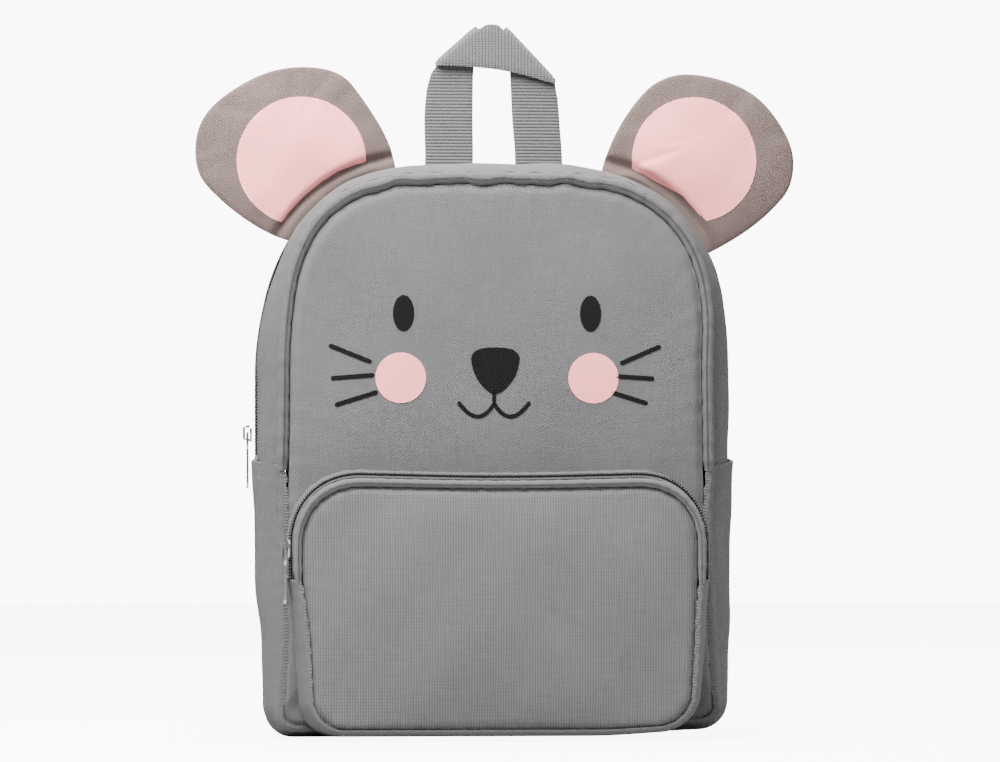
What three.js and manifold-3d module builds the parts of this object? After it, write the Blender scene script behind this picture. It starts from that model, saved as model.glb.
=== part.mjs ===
// Kids animal backpack: a grey mouse-faced day bag with a front pocket, two ears, a folded webbing
// handle and two shoulder straps. Millimetres, +Z up, the face towards -Y, the origin on the floor
// under the middle of the flat base. Left and right are as seen from the front.
import * as THREE from 'three';
import { mergeVertices } from 'three/addons/utils/BufferGeometryUtils.js';
import Module from 'manifold-3d';

// Cloth
const clothWall = 2;
const backPadWall = 5;
const pieceGap = 0.3;

// Bag, measured over its fullest part
const bagWidth = 240.6;
const bagBaseWidth = 235;
const bagHeight = 290;
const bagDepth = 90;
const springHeight = 180;
const crownFlat = 20;
const crestPower = 2.45;
const baseCorner = 14;
const crestBand = 20;
const sidePatchHeight = 136;

// Main seams, set in from the fullest part
const sideSwell = 17.3;
const baseSwell = 8.3;
const topSwell = 13.2;
const seamSpringHeight = 190;
const seamPower = 2.85;
const seamCorner = 10;
const panelDome = 4;
const backDome = 3;
const rollRadius = 3;
const rollSetBack = 2.8;

// Zips
const zipSlotHalf = 9;
const tapeWall = 1;
const tapeRecess = 0.6;
const coilHalf = 2.6;
const coilProud = 1;
const coilWall = 2;
const mainSliderHeight = 153;

// Pocket, measured at its face seam
const pocketSeamWidth = 195;
const pocketSeamTop = 125.5;
const pocketSeamCorner = 17;
const pocketTopCorner = 30;
const pocketPower = 2.2;
const pocketDepth = 30;
const pocketDome = 5;
const pocketRollRadius = 2.6;
const pocketRollSetBack = 1.6;
const pocketFlareSide = 4.9;
const pocketFlareTop = 6.6;
const pocketFlareBase = 1.7;
const pocketPatchHeight = 79;
const pocketTapeWidth = 3.1;
const pocketSliderHeight = 95;

// Ears
const earInnerX = 50;
const earOuterX = 107;
const earLength = 80;
const earWidest = 42;
const earHalfWidth = 47.5;
const earLean = 0.08;
const earPuff = 4.4;
const earRim = 1.6;
const earCup = 3;
const earSeamY = -14;

// Handle
const webbingWidth = 25;
const webbingWall = 1.8;
const handleSpread = 72;
const handleRise = 80;
const handleOffset = 4;
const handleFoldGap = 2.6;
const handleLean = 5;
const handlePeakHalf = 3.5;

// Shoulder straps
const strapTopHeight = 256;
const strapTopX = 34;
const strapLowX = 66;
const strapWall = 6;
const strapWidth = 46;
const strapBow = 34;
const strapWebWall = 1.6;
const lowerWebbingWidth = 20;
const tabHeight = 26;
const tabWidth = 24;
const tabWall = 2.4;
const adjusterHeight = 86;
const adjusterStandoff = 16;
const adjusterWall = 3;
const adjusterBar = 3.6;
const adjusterSlot = 2.4;

// Slider and pull
const sliderLength = 8.6;
const sliderWidth = 9;
const sliderPlate = 1.2;
const bridgeWidth = 2.6;
const bridgeWall = 1.2;
const bridgeWindow = 2.3;
const pullBar = 1.1;
const pullTopWidth = 7;
const pullEndWidth = 5.4;
const pullLength = 28;
const eyeWidth = 4;
const eyeLength = 4.8;

// Materials
const greyCloth = { color: 0x93959a, roughness: 0.9, metalness: 0 };
const earCloth = { color: 0x8c8482, roughness: 0.9, metalness: 0 };
const webbingCloth = { color: 0x7d7e82, roughness: 0.85, metalness: 0 };
const zipTape = { color: 0x3a3b3e, roughness: 0.8, metalness: 0 };
const zipCoil = { color: 0x1f2022, roughness: 0.45, metalness: 0 };
const nickel = { color: 0xc9cbcd, roughness: 0.25, metalness: 1 };
const blackPlastic = { color: 0x232427, roughness: 0.5, metalness: 0 };

const wasm = await Module();
wasm.setup();
const backpack = new THREE.Group();

function addPiece(name, geometry, finish) {
  const mesh = new THREE.Mesh(geometry, new THREE.MeshStandardMaterial(finish));
  mesh.name = name;
  backpack.add(mesh);
}

// A closed solid from its vertices and triangles, turned to face out
function solidGeometry(vertices, triangles) {
  let volume = 0;
  for (const [a, b, c] of triangles) {
    volume += vertices[a].dot(vertices[b].clone().cross(vertices[c]));
  }
  const facing = volume < 0 ? triangles.map(([a, b, c]) => [a, c, b]) : triangles;
  const geometry = new THREE.BufferGeometry();
  const numbers = vertices.flatMap((vertex) => vertex.toArray());
  geometry.setAttribute('position', new THREE.Float32BufferAttribute(numbers, 3));
  geometry.setIndex(facing.flat());
  geometry.computeVertexNormals();
  return geometry;
}

function quad(triangles, a, b, c, d) {
  triangles.push([a, b, c], [a, c, d]);
}

// A wall between two matching grids of points, open or closed along its first direction
function wallSolid(outer, inner, closed) {
  const columns = outer.length;
  const rows = outer[0].length;
  const last = rows - 1;
  const vertices = [...outer.flat(), ...inner.flat()];
  const at = (layer, i, j) => (layer * columns + (i % columns)) * rows + j;
  const triangles = [];
  const spans = closed ? columns : columns - 1;
  for (let i = 0; i < spans; i += 1) {
    for (let j = 0; j < last; j += 1) {
      quad(triangles, at(0, i, j), at(0, i + 1, j), at(0, i + 1, j + 1), at(0, i, j + 1));
      quad(triangles, at(1, i, j), at(1, i, j + 1), at(1, i + 1, j + 1), at(1, i + 1, j));
    }
    quad(triangles, at(0, i, 0), at(1, i, 0), at(1, i + 1, 0), at(0, i + 1, 0));
    quad(triangles, at(0, i, last), at(0, i + 1, last), at(1, i + 1, last), at(1, i, last));
  }
  for (let j = 0; j < last && !closed; j += 1) {
    quad(triangles, at(0, 0, j), at(0, 0, j + 1), at(1, 0, j + 1), at(1, 0, j));
    quad(triangles, at(0, spans, j), at(1, spans, j), at(1, spans, j + 1), at(0, spans, j + 1));
  }
  return solidGeometry(vertices, triangles);
}

// A closed tube through rings of points that end where they began
function ringSolid(rings) {
  const sides = rings[0].length;
  const at = (i, k) => (i % rings.length) * sides + (k % sides);
  const triangles = [];
  for (let i = 0; i < rings.length; i += 1) {
    for (let k = 0; k < sides; k += 1) {
      quad(triangles, at(i, k), at(i + 1, k), at(i + 1, k + 1), at(i, k + 1));
    }
  }
  return solidGeometry(rings.flat(), triangles);
}

// A panel inside a rim of {x, z} points, with a front and a back depth for each place in it
function panelSolid(rim, centre, shares, frontDepth, backDepth) {
  const count = rim.length;
  const rings = shares.length;
  const vertices = [];
  for (const depth of [frontDepth, backDepth]) {
    vertices.push(new THREE.Vector3(centre.x, depth(centre.x, centre.z, 0), centre.z));
    for (const share of shares) {
      for (const point of rim) {
        const x = centre.x + (point.x - centre.x) * share;
        const z = centre.z + (point.z - centre.z) * share;
        vertices.push(new THREE.Vector3(x, depth(x, z, share), z));
      }
    }
  }
  const middle = (layer) => layer * (1 + rings * count);
  const at = (layer, ring, i) => middle(layer) + 1 + ring * count + (i % count);
  const triangles = [];
  for (let i = 0; i < count; i += 1) {
    triangles.push([middle(0), at(0, 0, i), at(0, 0, i + 1)]);
    triangles.push([middle(1), at(1, 0, i + 1), at(1, 0, i)]);
    for (let ring = 0; ring < rings - 1; ring += 1) {
      quad(triangles, at(0, ring, i), at(0, ring + 1, i), at(0, ring + 1, i + 1), at(0, ring, i + 1));
      quad(triangles, at(1, ring, i), at(1, ring, i + 1), at(1, ring + 1, i + 1), at(1, ring + 1, i));
    }
    const edge = rings - 1;
    quad(triangles, at(0, edge, i), at(1, edge, i), at(1, edge, i + 1), at(0, edge, i + 1));
  }
  return solidGeometry(vertices, triangles);
}

// The bag's and the pocket's outlines are loops of six stretches on each side of the middle:
// base, base corner, lower side, upper side, arch and flat crown
const stretches = [
  (loop, share) => ({ x: share * (loop.baseHalf - loop.corner), z: loop.bottom }),
  (loop, share) => ({
    x: loop.baseHalf - loop.corner * (1 - Math.sin(share * Math.PI / 2)),
    z: loop.bottom + loop.corner * (1 - Math.cos(share * Math.PI / 2)),
  }),
  (loop, share) => sidePoint(loop, THREE.MathUtils.lerp(loop.bottom + loop.corner, loop.split, share)),
  (loop, share) => sidePoint(loop, THREE.MathUtils.lerp(loop.split, loop.spring, share)),
  (loop, share) => archPoint(loop, share * Math.PI / 2),
  (loop, share) => ({ x: loop.crownHalf * (1 - share), z: loop.top }),
];
const splitStation = 3;
const crownStation = stretches.length;

function sidePoint(loop, z) {
  const drop = (loop.spring - z) / (loop.spring - loop.bottom - loop.corner);
  return { x: THREE.MathUtils.lerp(loop.midHalf, loop.baseHalf, drop * drop), z };
}

function archPoint(loop, angle) {
  const reach = loop.midHalf - loop.crownHalf;
  return {
    x: loop.crownHalf + reach * Math.cos(angle) ** (2 / loop.power),
    z: loop.spring + (loop.top - loop.spring) * Math.sin(angle) ** (2 / loop.power),
  };
}

// The point of a loop at a station: the stretch's number plus the share along it, minus on the left
function loopPoint(loop, station) {
  const part = Math.abs(station);
  const stretch = Math.min(Math.floor(part), crownStation - 1);
  const point = stretches[stretch](loop, part - stretch);
  return { x: station < 0 ? -point.x : point.x, z: point.z };
}

function grownLoop(loop, amount) {
  return {
    ...loop,
    midHalf: loop.midHalf + amount,
    baseHalf: loop.baseHalf + amount,
    top: loop.top + amount,
    bottom: loop.bottom - amount,
    corner: loop.corner + amount,
  };
}

function blendedLoop(from, to, share) {
  const blended = {};
  for (const key of Object.keys(from)) {
    blended[key] = THREE.MathUtils.lerp(from[key], to[key], share);
  }
  return blended;
}

function halfStations(steps, first, end) {
  const list = [];
  for (let stretch = first; stretch < end; stretch += 1) {
    for (let i = 0; i < steps[stretch]; i += 1) {
      list.push(stretch + i / steps[stretch]);
    }
  }
  return [...list, end];
}

function mirrored(list) {
  return list.map((station) => -station).reverse();
}

// Whole loops, the run over the top above the side patches, and the run below them
function wholeRun(steps) {
  const half = halfStations(steps, 0, crownStation);
  return [...half, ...mirrored(half.slice(1, -1))];
}

function topRun(steps, loop) {
  const start = splitStation + pieceGap / (loop.spring - loop.split);
  const half = [start, ...halfStations(steps, splitStation, crownStation).slice(1)];
  return [...half, ...mirrored(half.slice(0, -1))];
}

function baseRun(steps) {
  const half = halfStations(steps, 0, splitStation);
  return [...mirrored(half.slice(1)), ...half];
}

// Bag loops
const bagSteps = [3, 4, 3, 2, 9, 2];
const rollOffset = rollRadius + pieceGap;
const crestLoop = {
  midHalf: bagWidth / 2,
  baseHalf: bagBaseWidth / 2,
  top: bagHeight,
  bottom: 0,
  spring: springHeight,
  split: sidePatchHeight,
  crownHalf: crownFlat,
  power: crestPower,
  corner: baseCorner,
};
const seamLoop = {
  ...crestLoop,
  midHalf: crestLoop.midHalf - sideSwell,
  baseHalf: crestLoop.baseHalf - baseSwell,
  top: crestLoop.top - topSwell,
  bottom: 2 * rollOffset,
  spring: seamSpringHeight,
  power: seamPower,
  corner: seamCorner,
};
const rollLoop = grownLoop(seamLoop, rollOffset);
const panelDepth = bagDepth / 2;
const rollDepth = panelDepth - rollSetBack;
const gussetEdge = rollDepth - rollOffset;
const bagMiddle = (seamLoop.top + seamLoop.bottom) / 2;

// How far a panel swells out at a place, from its full dome in the middle to nothing at its seam
function domeDepth(loop, dome, x, z) {
  const middle = (loop.top + loop.bottom) / 2;
  const across = Math.abs(x / loop.baseHalf) ** 2.2;
  const up = Math.abs((z - middle) / (loop.top - middle)) ** 2.2;
  return dome * (1 - across) * (1 - up);
}

function frontPanelY(x, z) {
  return -panelDepth - domeDepth(seamLoop, panelDome, x, z);
}

function backPanelY(x, z) {
  return panelDepth + domeDepth(seamLoop, backDome, x, z);
}

// The gusset is full and flat over the crest band and rounds in to the rolls on both sides
function gussetLoop(y) {
  const fall = Math.max(0, Math.abs(y) - crestBand) / (gussetEdge - crestBand);
  return blendedLoop(crestLoop, rollLoop, fall * fall);
}

// A strip of the gusset through rows of {y, out, in}: how far its two faces stand off the surface
function gussetStrip(stations, rows, surface) {
  const face = (side) => stations.map((station) => rows.map((row) => {
    const y = row.y(station);
    const point = loopPoint(grownLoop(surface(station, y), row[side]), station);
    return new THREE.Vector3(point.x, y, point.z);
  }));
  return wallSolid(face('out'), face('in'), false);
}

function clothRows(depths) {
  return depths.map((depth) => ({ y: () => depth, out: 0, in: -clothWall }));
}

function tapeRows(depths) {
  return depths.map((depth) => ({ y: () => depth, out: -tapeRecess, in: -tapeRecess - tapeWall }));
}

function coilRows(middle) {
  const shoulders = [
    { across: -1, height: 0.2 },
    { across: -0.5, height: 1 },
    { across: 0.5, height: 1 },
    { across: 1, height: 0.2 },
  ];
  return shoulders.map(({ across, height }) => ({
    y: () => middle + across * coilHalf,
    out: coilProud * height,
    in: coilProud - coilWall,
  }));
}

const bagSurface = (station, y) => gussetLoop(y);
const tapeGap = coilHalf + pieceGap;

function spread(first, last, count) {
  return Array.from({ length: count + 1 }, (unused, i) => THREE.MathUtils.lerp(first, last, i / count));
}

function addBag() {
  const rim = wholeRun(bagSteps).map((station) => loopPoint(seamLoop, station));
  const centre = { x: 0, z: bagMiddle };
  const shares = [0.4, 0.75, 1];
  const frontIn = (x, z) => frontPanelY(x, z) + clothWall;
  const backIn = (x, z) => backPanelY(x, z) - backPadWall;
  addPiece('front_panel', panelSolid(rim, centre, shares, frontPanelY, frontIn), greyCloth);
  addPiece('back_panel', panelSolid(rim, centre, shares, backPanelY, backIn), greyCloth);
  const frontRoll = rollRings(seamLoop, rollRadius, bagSteps, -rollDepth);
  const backRoll = rollRings(seamLoop, rollRadius, bagSteps, rollDepth);
  addPiece('front_edge_roll', ringSolid(frontRoll), greyCloth);
  addPiece('back_edge_roll', ringSolid(backRoll), greyCloth);

  const top = topRun(bagSteps, crestLoop);
  const sideRows = [...spread(gussetEdge, crestBand, 3), zipSlotHalf];
  const frontRows = sideRows.map((depth) => -depth);
  addPiece('gusset_front_strip', gussetStrip(top, clothRows(frontRows), bagSurface), greyCloth);
  addPiece('gusset_back_strip', gussetStrip(top, clothRows(sideRows), bagSurface), greyCloth);
  const baseRows = [...frontRows.slice(0, -1), ...sideRows.slice(0, -1).reverse()];
  addPiece('gusset_base', gussetStrip(baseRun(bagSteps), clothRows(baseRows), bagSurface), greyCloth);

  const tapeDepths = [zipSlotHalf - pieceGap, tapeGap];
  const frontTape = tapeRows(tapeDepths.map((depth) => -depth));
  addPiece('main_zip_tape_front', gussetStrip(top, frontTape, bagSurface), zipTape);
  addPiece('main_zip_tape_back', gussetStrip(top, tapeRows(tapeDepths), bagSurface), zipTape);
  addPiece('main_zip_coil', gussetStrip(top, coilRows(0), bagSurface), zipCoil);
}

// The rolled cloth edge of a seam, round in section
function rollRings(loop, radius, steps, middleY) {
  const sides = 8;
  return wholeRun(steps).map((station) => (
    Array.from({ length: sides }, (unused, k) => {
      const angle = k / sides * 2 * Math.PI;
      const point = loopPoint(grownLoop(loop, radius * (1 + Math.cos(angle)) + pieceGap), station);
      return new THREE.Vector3(point.x, middleY + radius * Math.sin(angle), point.z);
    })
  ));
}

// Pocket loops, from its face seam to the wider edge that is sewn to the bag
const pocketSteps = [3, 4, 2, 1, 6, 3];
const pocketRollOffset = pocketRollRadius + pieceGap;
const pocketSeamLoop = {
  midHalf: pocketSeamWidth / 2,
  baseHalf: pocketSeamWidth / 2,
  top: pocketSeamTop,
  bottom: 2 * pocketRollOffset,
  spring: pocketSeamTop - pocketTopCorner,
  split: pocketPatchHeight,
  crownHalf: pocketSeamWidth / 2 - pocketTopCorner,
  power: pocketPower,
  corner: pocketSeamCorner,
};
const pocketRollLoop = grownLoop(pocketSeamLoop, pocketRollOffset);
const pocketBackLoop = {
  ...pocketRollLoop,
  midHalf: pocketRollLoop.midHalf + pocketFlareSide,
  baseHalf: pocketRollLoop.baseHalf + pocketFlareSide,
  top: pocketRollLoop.top + pocketFlareTop,
  bottom: pocketRollLoop.bottom - pocketFlareBase,
};
const pocketFaceDepth = panelDepth + pocketDepth;
const pocketRollDepth = pocketFaceDepth - pocketRollSetBack;
const pocketGussetFront = pocketRollDepth - pocketRollOffset;
const pocketCoilDepth = pocketGussetFront - pocketTapeWidth - tapeGap;
const pocketSewnGap = rollRadius - rollSetBack + 2 * pieceGap;

function pocketFaceY(x, z) {
  return -pocketFaceDepth - domeDepth(pocketSeamLoop, pocketDome, x, z);
}

function pocketSurface(station, y) {
  const share = (pocketRollDepth + y) / (pocketRollDepth - panelDepth);
  return blendedLoop(pocketRollLoop, pocketBackLoop, share ** 0.6);
}

// The pocket's sewn edge stays just off the front panel
function pocketSewnY(station) {
  const point = loopPoint(pocketBackLoop, station);
  return frontPanelY(point.x, point.z) - pocketSewnGap;
}

function addPocket() {
  const rim = wholeRun(pocketSteps).map((station) => loopPoint(pocketSeamLoop, station));
  const centre = { x: 0, z: (pocketSeamLoop.top + pocketSeamLoop.bottom) / 2 };
  const faceIn = (x, z) => pocketFaceY(x, z) + clothWall;
  addPiece('pocket_face', panelSolid(rim, centre, [0.4, 0.75, 1], pocketFaceY, faceIn), greyCloth);
  const rings = rollRings(pocketSeamLoop, pocketRollRadius, pocketSteps, -pocketRollDepth);
  addPiece('pocket_edge_roll', ringSolid(rings), greyCloth);

  const top = topRun(pocketSteps, pocketSeamLoop);
  const frontTape = tapeRows([-pocketGussetFront, -pocketCoilDepth - tapeGap]);
  const backTape = tapeRows([-pocketCoilDepth + tapeGap, -pocketCoilDepth + tapeGap + pocketTapeWidth]);
  addPiece('pocket_zip_tape_front', gussetStrip(top, frontTape, pocketSurface), zipTape);
  addPiece('pocket_zip_tape_back', gussetStrip(top, backTape, pocketSurface), zipTape);
  addPiece('pocket_zip_coil', gussetStrip(top, coilRows(-pocketCoilDepth), pocketSurface), zipCoil);

  const stripFront = -pocketCoilDepth + tapeGap + pocketTapeWidth + pieceGap;
  const cloth = { out: 0, in: -clothWall };
  const stripRows = [{ y: () => stripFront, ...cloth }, { y: pocketSewnY, ...cloth }];
  addPiece('pocket_gusset_back', gussetStrip(top, stripRows, pocketSurface), greyCloth);
  const baseRows = [
    { y: () => -pocketGussetFront, ...cloth },
    { y: () => stripFront, ...cloth },
    { y: pocketSewnY, ...cloth },
  ];
  addPiece('pocket_gusset_base', gussetStrip(baseRun(pocketSteps), baseRows, pocketSurface), greyCloth);
}

// The angle on a loop's arch that lies over a given x
function archAngle(loop, x) {
  const share = (x - loop.crownHalf) / (loop.midHalf - loop.crownHalf);
  return Math.acos(share ** (loop.power / 2));
}

// An ear is a stuffed round leaf whose foot follows the crest of the bag
function addEar(name, side) {
  const footLoop = grownLoop(crestLoop, pieceGap);
  const innerAngle = archAngle(footLoop, earInnerX);
  const outerAngle = archAngle(footLoop, earOuterX);
  const inner = archPoint(footLoop, innerAngle);
  const outer = archPoint(footLoop, outerAngle);
  const chord = new THREE.Vector2(outer.x - inner.x, outer.z - inner.z);
  const footHalf = chord.length() / 2;
  const along = chord.clone().normalize();
  const middle = new THREE.Vector2(inner.x + outer.x, inner.z + outer.z).multiplyScalar(0.5);
  const upperSemi = earLength - earWidest;
  const lowerSemi = earWidest / Math.sqrt(1 - (footHalf / earHalfWidth) ** 2);
  const turn = Math.acos(-earWidest / lowerSemi);

  const rim = spread(-turn, turn, 18).map((angle) => {
    const semi = Math.cos(angle) < 0 ? lowerSemi : upperSemi;
    const height = earWidest + semi * Math.cos(angle);
    const across = earHalfWidth * Math.sin(angle) + earLean * height;
    return {
      x: side * (middle.x + along.x * across - along.y * height),
      z: middle.y + along.y * across + along.x * height,
    };
  });
  const foot = spread(outerAngle, innerAngle, 6).slice(1, -1).map((angle) => {
    const point = archPoint(footLoop, angle);
    return { x: side * point.x, z: point.z };
  });
  const centre = {
    x: side * (middle.x - along.y * earWidest),
    z: middle.y + along.x * earWidest,
  };
  const halfWall = (share) => earRim / 2 + (earPuff - earRim / 2) * Math.sqrt(1 - share * share);
  const front = (x, z, share) => earSeamY - earCup * share * share - halfWall(share);
  const back = (x, z, share) => earSeamY - earCup * share * share + halfWall(share);
  addPiece(name, panelSolid([...rim, ...foot], centre, [0.45, 0.8, 1], front, back), earCloth);
}

// A flat ribbon through cross lines {from, to, out, wall}, where out is the way its outer face looks
function ribbonSolid(lines) {
  const face = (side) => lines.map(({ from, to, out, wall }) => {
    const step = out.clone().multiplyScalar(side * wall / 2);
    return [from.clone().add(step), to.clone().add(step)];
  });
  return wallSolid(face(1), face(-1), false);
}

// The handle: one webbing whose two legs stand up, fold over on the slant and meet in a peak
function addHandle() {
  const legDepth = rollDepth - pieceGap;
  const frontDepth = legDepth - handleFoldGap;
  const foldRadius = handleFoldGap / 2;
  const footHeight = rollLoop.top + rollRadius + pieceGap;
  const half = handleSpread / 2;
  const foldRun = half - handleLean - handlePeakHalf;
  const foldDrop = Math.sqrt(2 * webbingWidth ** 2 - foldRun ** 2);
  const peakHeight = footHeight + handleRise;
  const crossLine = (side, outerX, outerZ, innerX, innerZ, y, out) => ({
    from: new THREE.Vector3(handleOffset + side * outerX, y, outerZ),
    to: new THREE.Vector3(handleOffset + side * innerX, y, innerZ),
    out,
    wall: webbingWall,
  });
  const halfRibbon = (side) => {
    const back = new THREE.Vector3(0, 1, 0);
    const slope = new THREE.Vector3(side * foldDrop, 0, foldRun).normalize();
    const foot = crossLine(side, half, footHeight, half - webbingWidth, footHeight, legDepth, back);
    const fold = spread(0, Math.PI, 4).map((angle) => {
      const out = back.clone().multiplyScalar(Math.cos(angle)).addScaledVector(slope, Math.sin(angle));
      const y = frontDepth + foldRadius * (1 + Math.cos(angle));
      const shoulder = peakHeight - foldDrop;
      const folded = crossLine(side, half - handleLean, shoulder, handlePeakHalf, peakHeight, y, out);
      folded.from.addScaledVector(slope, foldRadius * Math.sin(angle));
      folded.to.addScaledVector(slope, foldRadius * Math.sin(angle));
      return folded;
    });
    return [foot, ...fold];
  };
  const rightHalf = halfRibbon(1).reverse();
  addPiece('handle_webbing', ribbonSolid([...halfRibbon(-1), ...rightHalf]), webbingCloth);
}

// Cross lines of a strap down the back through sections {z, stand, x, half, wall}: height, distance
// off the panel, middle, half width and thickness
function strapLines(side, sections) {
  const centre = sections.map(({ z, stand, x }) => new THREE.Vector3(side * x, panelDepth + stand, z));
  return sections.map(({ half, wall }, i) => {
    const before = centre[Math.max(0, i - 1)];
    const after = centre[Math.min(centre.length - 1, i + 1)];
    const run = after.clone().sub(before);
    const across = new THREE.Vector3(half, 0, 0);
    const out = new THREE.Vector3(0, -run.z, run.y).normalize();
    return { from: centre[i].clone().sub(across), to: centre[i].clone().add(across), out, wall };
  });
}

// The last lines of a strap's end: it comes along behind the adjuster and turns in through a slot
function slotTurn(slotHeight, way) {
  const outer = adjusterStandoff + adjusterWall / 2 + strapWebWall / 2 + pieceGap;
  const half = lowerWebbingWidth / 2;
  const web = { x: strapLowX, half, wall: strapWebWall };
  return [
    { z: slotHeight + way * adjusterBar, stand: outer + strapWebWall, ...web },
    { z: slotHeight + way * strapWebWall, stand: outer + strapWebWall / 2, ...web },
    { z: slotHeight, stand: outer - strapWebWall / 2, ...web },
    { z: slotHeight, stand: adjusterStandoff - adjusterWall, ...web },
  ];
}

function addStrap(sideName, side) {
  const slotOffset = (adjusterBar + adjusterSlot) / 2;
  const topStand = backPanelY(strapTopX, strapTopHeight) - panelDepth + strapWall / 2 + pieceGap;
  const padEnd = adjusterHeight + 4 * adjusterBar;
  const drop = strapTopHeight - padEnd;

  // Shares of the drop, of the bow off the back and of the full width, from the top down
  const padTable = [
    { fall: 0, bow: 0, width: 0.8 },
    { fall: 0.1, bow: 0.3, width: 0.88 },
    { fall: 0.25, bow: 0.72, width: 0.96 },
    { fall: 0.45, bow: 1, width: 1 },
    { fall: 0.65, bow: 0.94, width: 0.96 },
    { fall: 0.85, bow: 0.7, width: 0.8 },
    { fall: 1, bow: 0.46, width: 0.5 },
  ];
  const pad = padTable.map(({ fall, bow, width }) => ({
    z: strapTopHeight - drop * fall,
    stand: topStand + strapBow * bow,
    x: THREE.MathUtils.lerp(strapTopX, strapLowX, fall * fall),
    half: strapWidth * width / 2,
    wall: strapWall,
  }));
  const padLines = strapLines(side, [...pad, ...slotTurn(adjusterHeight + slotOffset, 1)]);
  addPiece(`shoulder_strap_${sideName}`, ribbonSolid(padLines), greyCloth);

  const tabStand = rollRadius - rollSetBack + 2 * pieceGap + tabWall / 2;
  const webStand = tabStand + tabWall / 2 + pieceGap + strapWebWall / 2;
  const tabX = seamLoop.baseHalf - tabWidth / 2;
  const tabFoot = rollLoop.bottom + rollRadius;
  const web = { stand: webStand, half: lowerWebbingWidth / 2, wall: strapWebWall };
  const webbing = [
    { z: tabFoot, x: tabX, ...web },
    { z: tabFoot + tabHeight, x: tabX, ...web },
    ...slotTurn(adjusterHeight - slotOffset, -1),
  ];
  addPiece(`strap_webbing_${sideName}`, ribbonSolid(strapLines(side, webbing)), webbingCloth);

  const tab = [tabFoot, tabFoot + tabHeight].map((z) => (
    { z, stand: tabStand, x: tabX, half: tabWidth / 2, wall: tabWall }
  ));
  addPiece(`strap_tab_${sideName}`, ribbonSolid(strapLines(side, tab)), greyCloth);
  addPiece(`strap_adjuster_${sideName}`, adjusterSolid(side), blackPlastic);
}

function rectangle(path, left, low, width, height) {
  path.moveTo(left, low);
  path.lineTo(left + width, low);
  path.lineTo(left + width, low + height);
  path.lineTo(left, low + height);
  path.closePath();
  return path;
}

function extruded(shape, depth, segments = 4) {
  return new THREE.ExtrudeGeometry(shape, { depth, bevelEnabled: false, curveSegments: segments });
}

// A ladder frame of three bars with a slot for each strap's end
function adjusterSolid(side) {
  const slotWidth = lowerWebbingWidth + 4 * pieceGap;
  const width = slotWidth + 2 * adjusterBar;
  const height = 3 * adjusterBar + 2 * adjusterSlot;
  const frame = rectangle(new THREE.Shape(), -width / 2, -height / 2, width, height);
  for (const low of [adjusterBar / 2, -adjusterBar / 2 - adjusterSlot]) {
    frame.holes.push(rectangle(new THREE.Path(), -slotWidth / 2, low, slotWidth, adjusterSlot));
  }
  const geometry = extruded(frame, adjusterWall);
  geometry.rotateX(Math.PI / 2);
  const y = panelDepth + adjusterStandoff + adjusterWall / 2;
  geometry.translate(side * strapLowX, y, adjusterHeight);
  return geometry;
}

function toManifold(geometry) {
  const bare = new THREE.BufferGeometry();
  bare.setAttribute('position', geometry.getAttribute('position'));
  if (geometry.index) {
    bare.setIndex(geometry.index);
  }
  const merged = mergeVertices(bare, 1e-4);
  return new wasm.Manifold(new wasm.Mesh({
    numProp: 3,
    vertProperties: new Float32Array(merged.getAttribute('position').array),
    triVerts: new Uint32Array(merged.index.array),
  }));
}

function fromManifold(solid) {
  const mesh = solid.getMesh();
  const geometry = new THREE.BufferGeometry();
  geometry.setAttribute('position', new THREE.BufferAttribute(new Float32Array(mesh.vertProperties), 3));
  geometry.setIndex(new THREE.BufferAttribute(new Uint32Array(mesh.triVerts), 1));
  return geometry;
}

// A slider and its pull lie in a frame on the zip: X across it, Y up along it, Z straight out
const plateHeight = coilProud + pieceGap;
const pivotHeight = plateHeight + sliderPlate + bridgeWindow / 2;

function zipFrame(surface, station, y) {
  const step = 1e-3;
  const pointAt = (s, depth) => {
    const point = loopPoint(surface(s, depth), s);
    return new THREE.Vector3(point.x, depth, point.z);
  };
  const up = pointAt(station - step, y).sub(pointAt(station + step, y)).normalize();
  const back = pointAt(station, y + step).sub(pointAt(station, y - step));
  const out = up.clone().cross(back).normalize();
  const across = up.clone().cross(out);
  const place = pointAt(station, y);
  return new THREE.Matrix4().makeBasis(across, up, out).setPosition(place);
}

// The station on a loop's upper side, on the left, that lies at a given height
function leftStationAt(loop, z) {
  return -splitStation - (z - loop.split) / (loop.spring - loop.split);
}

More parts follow.
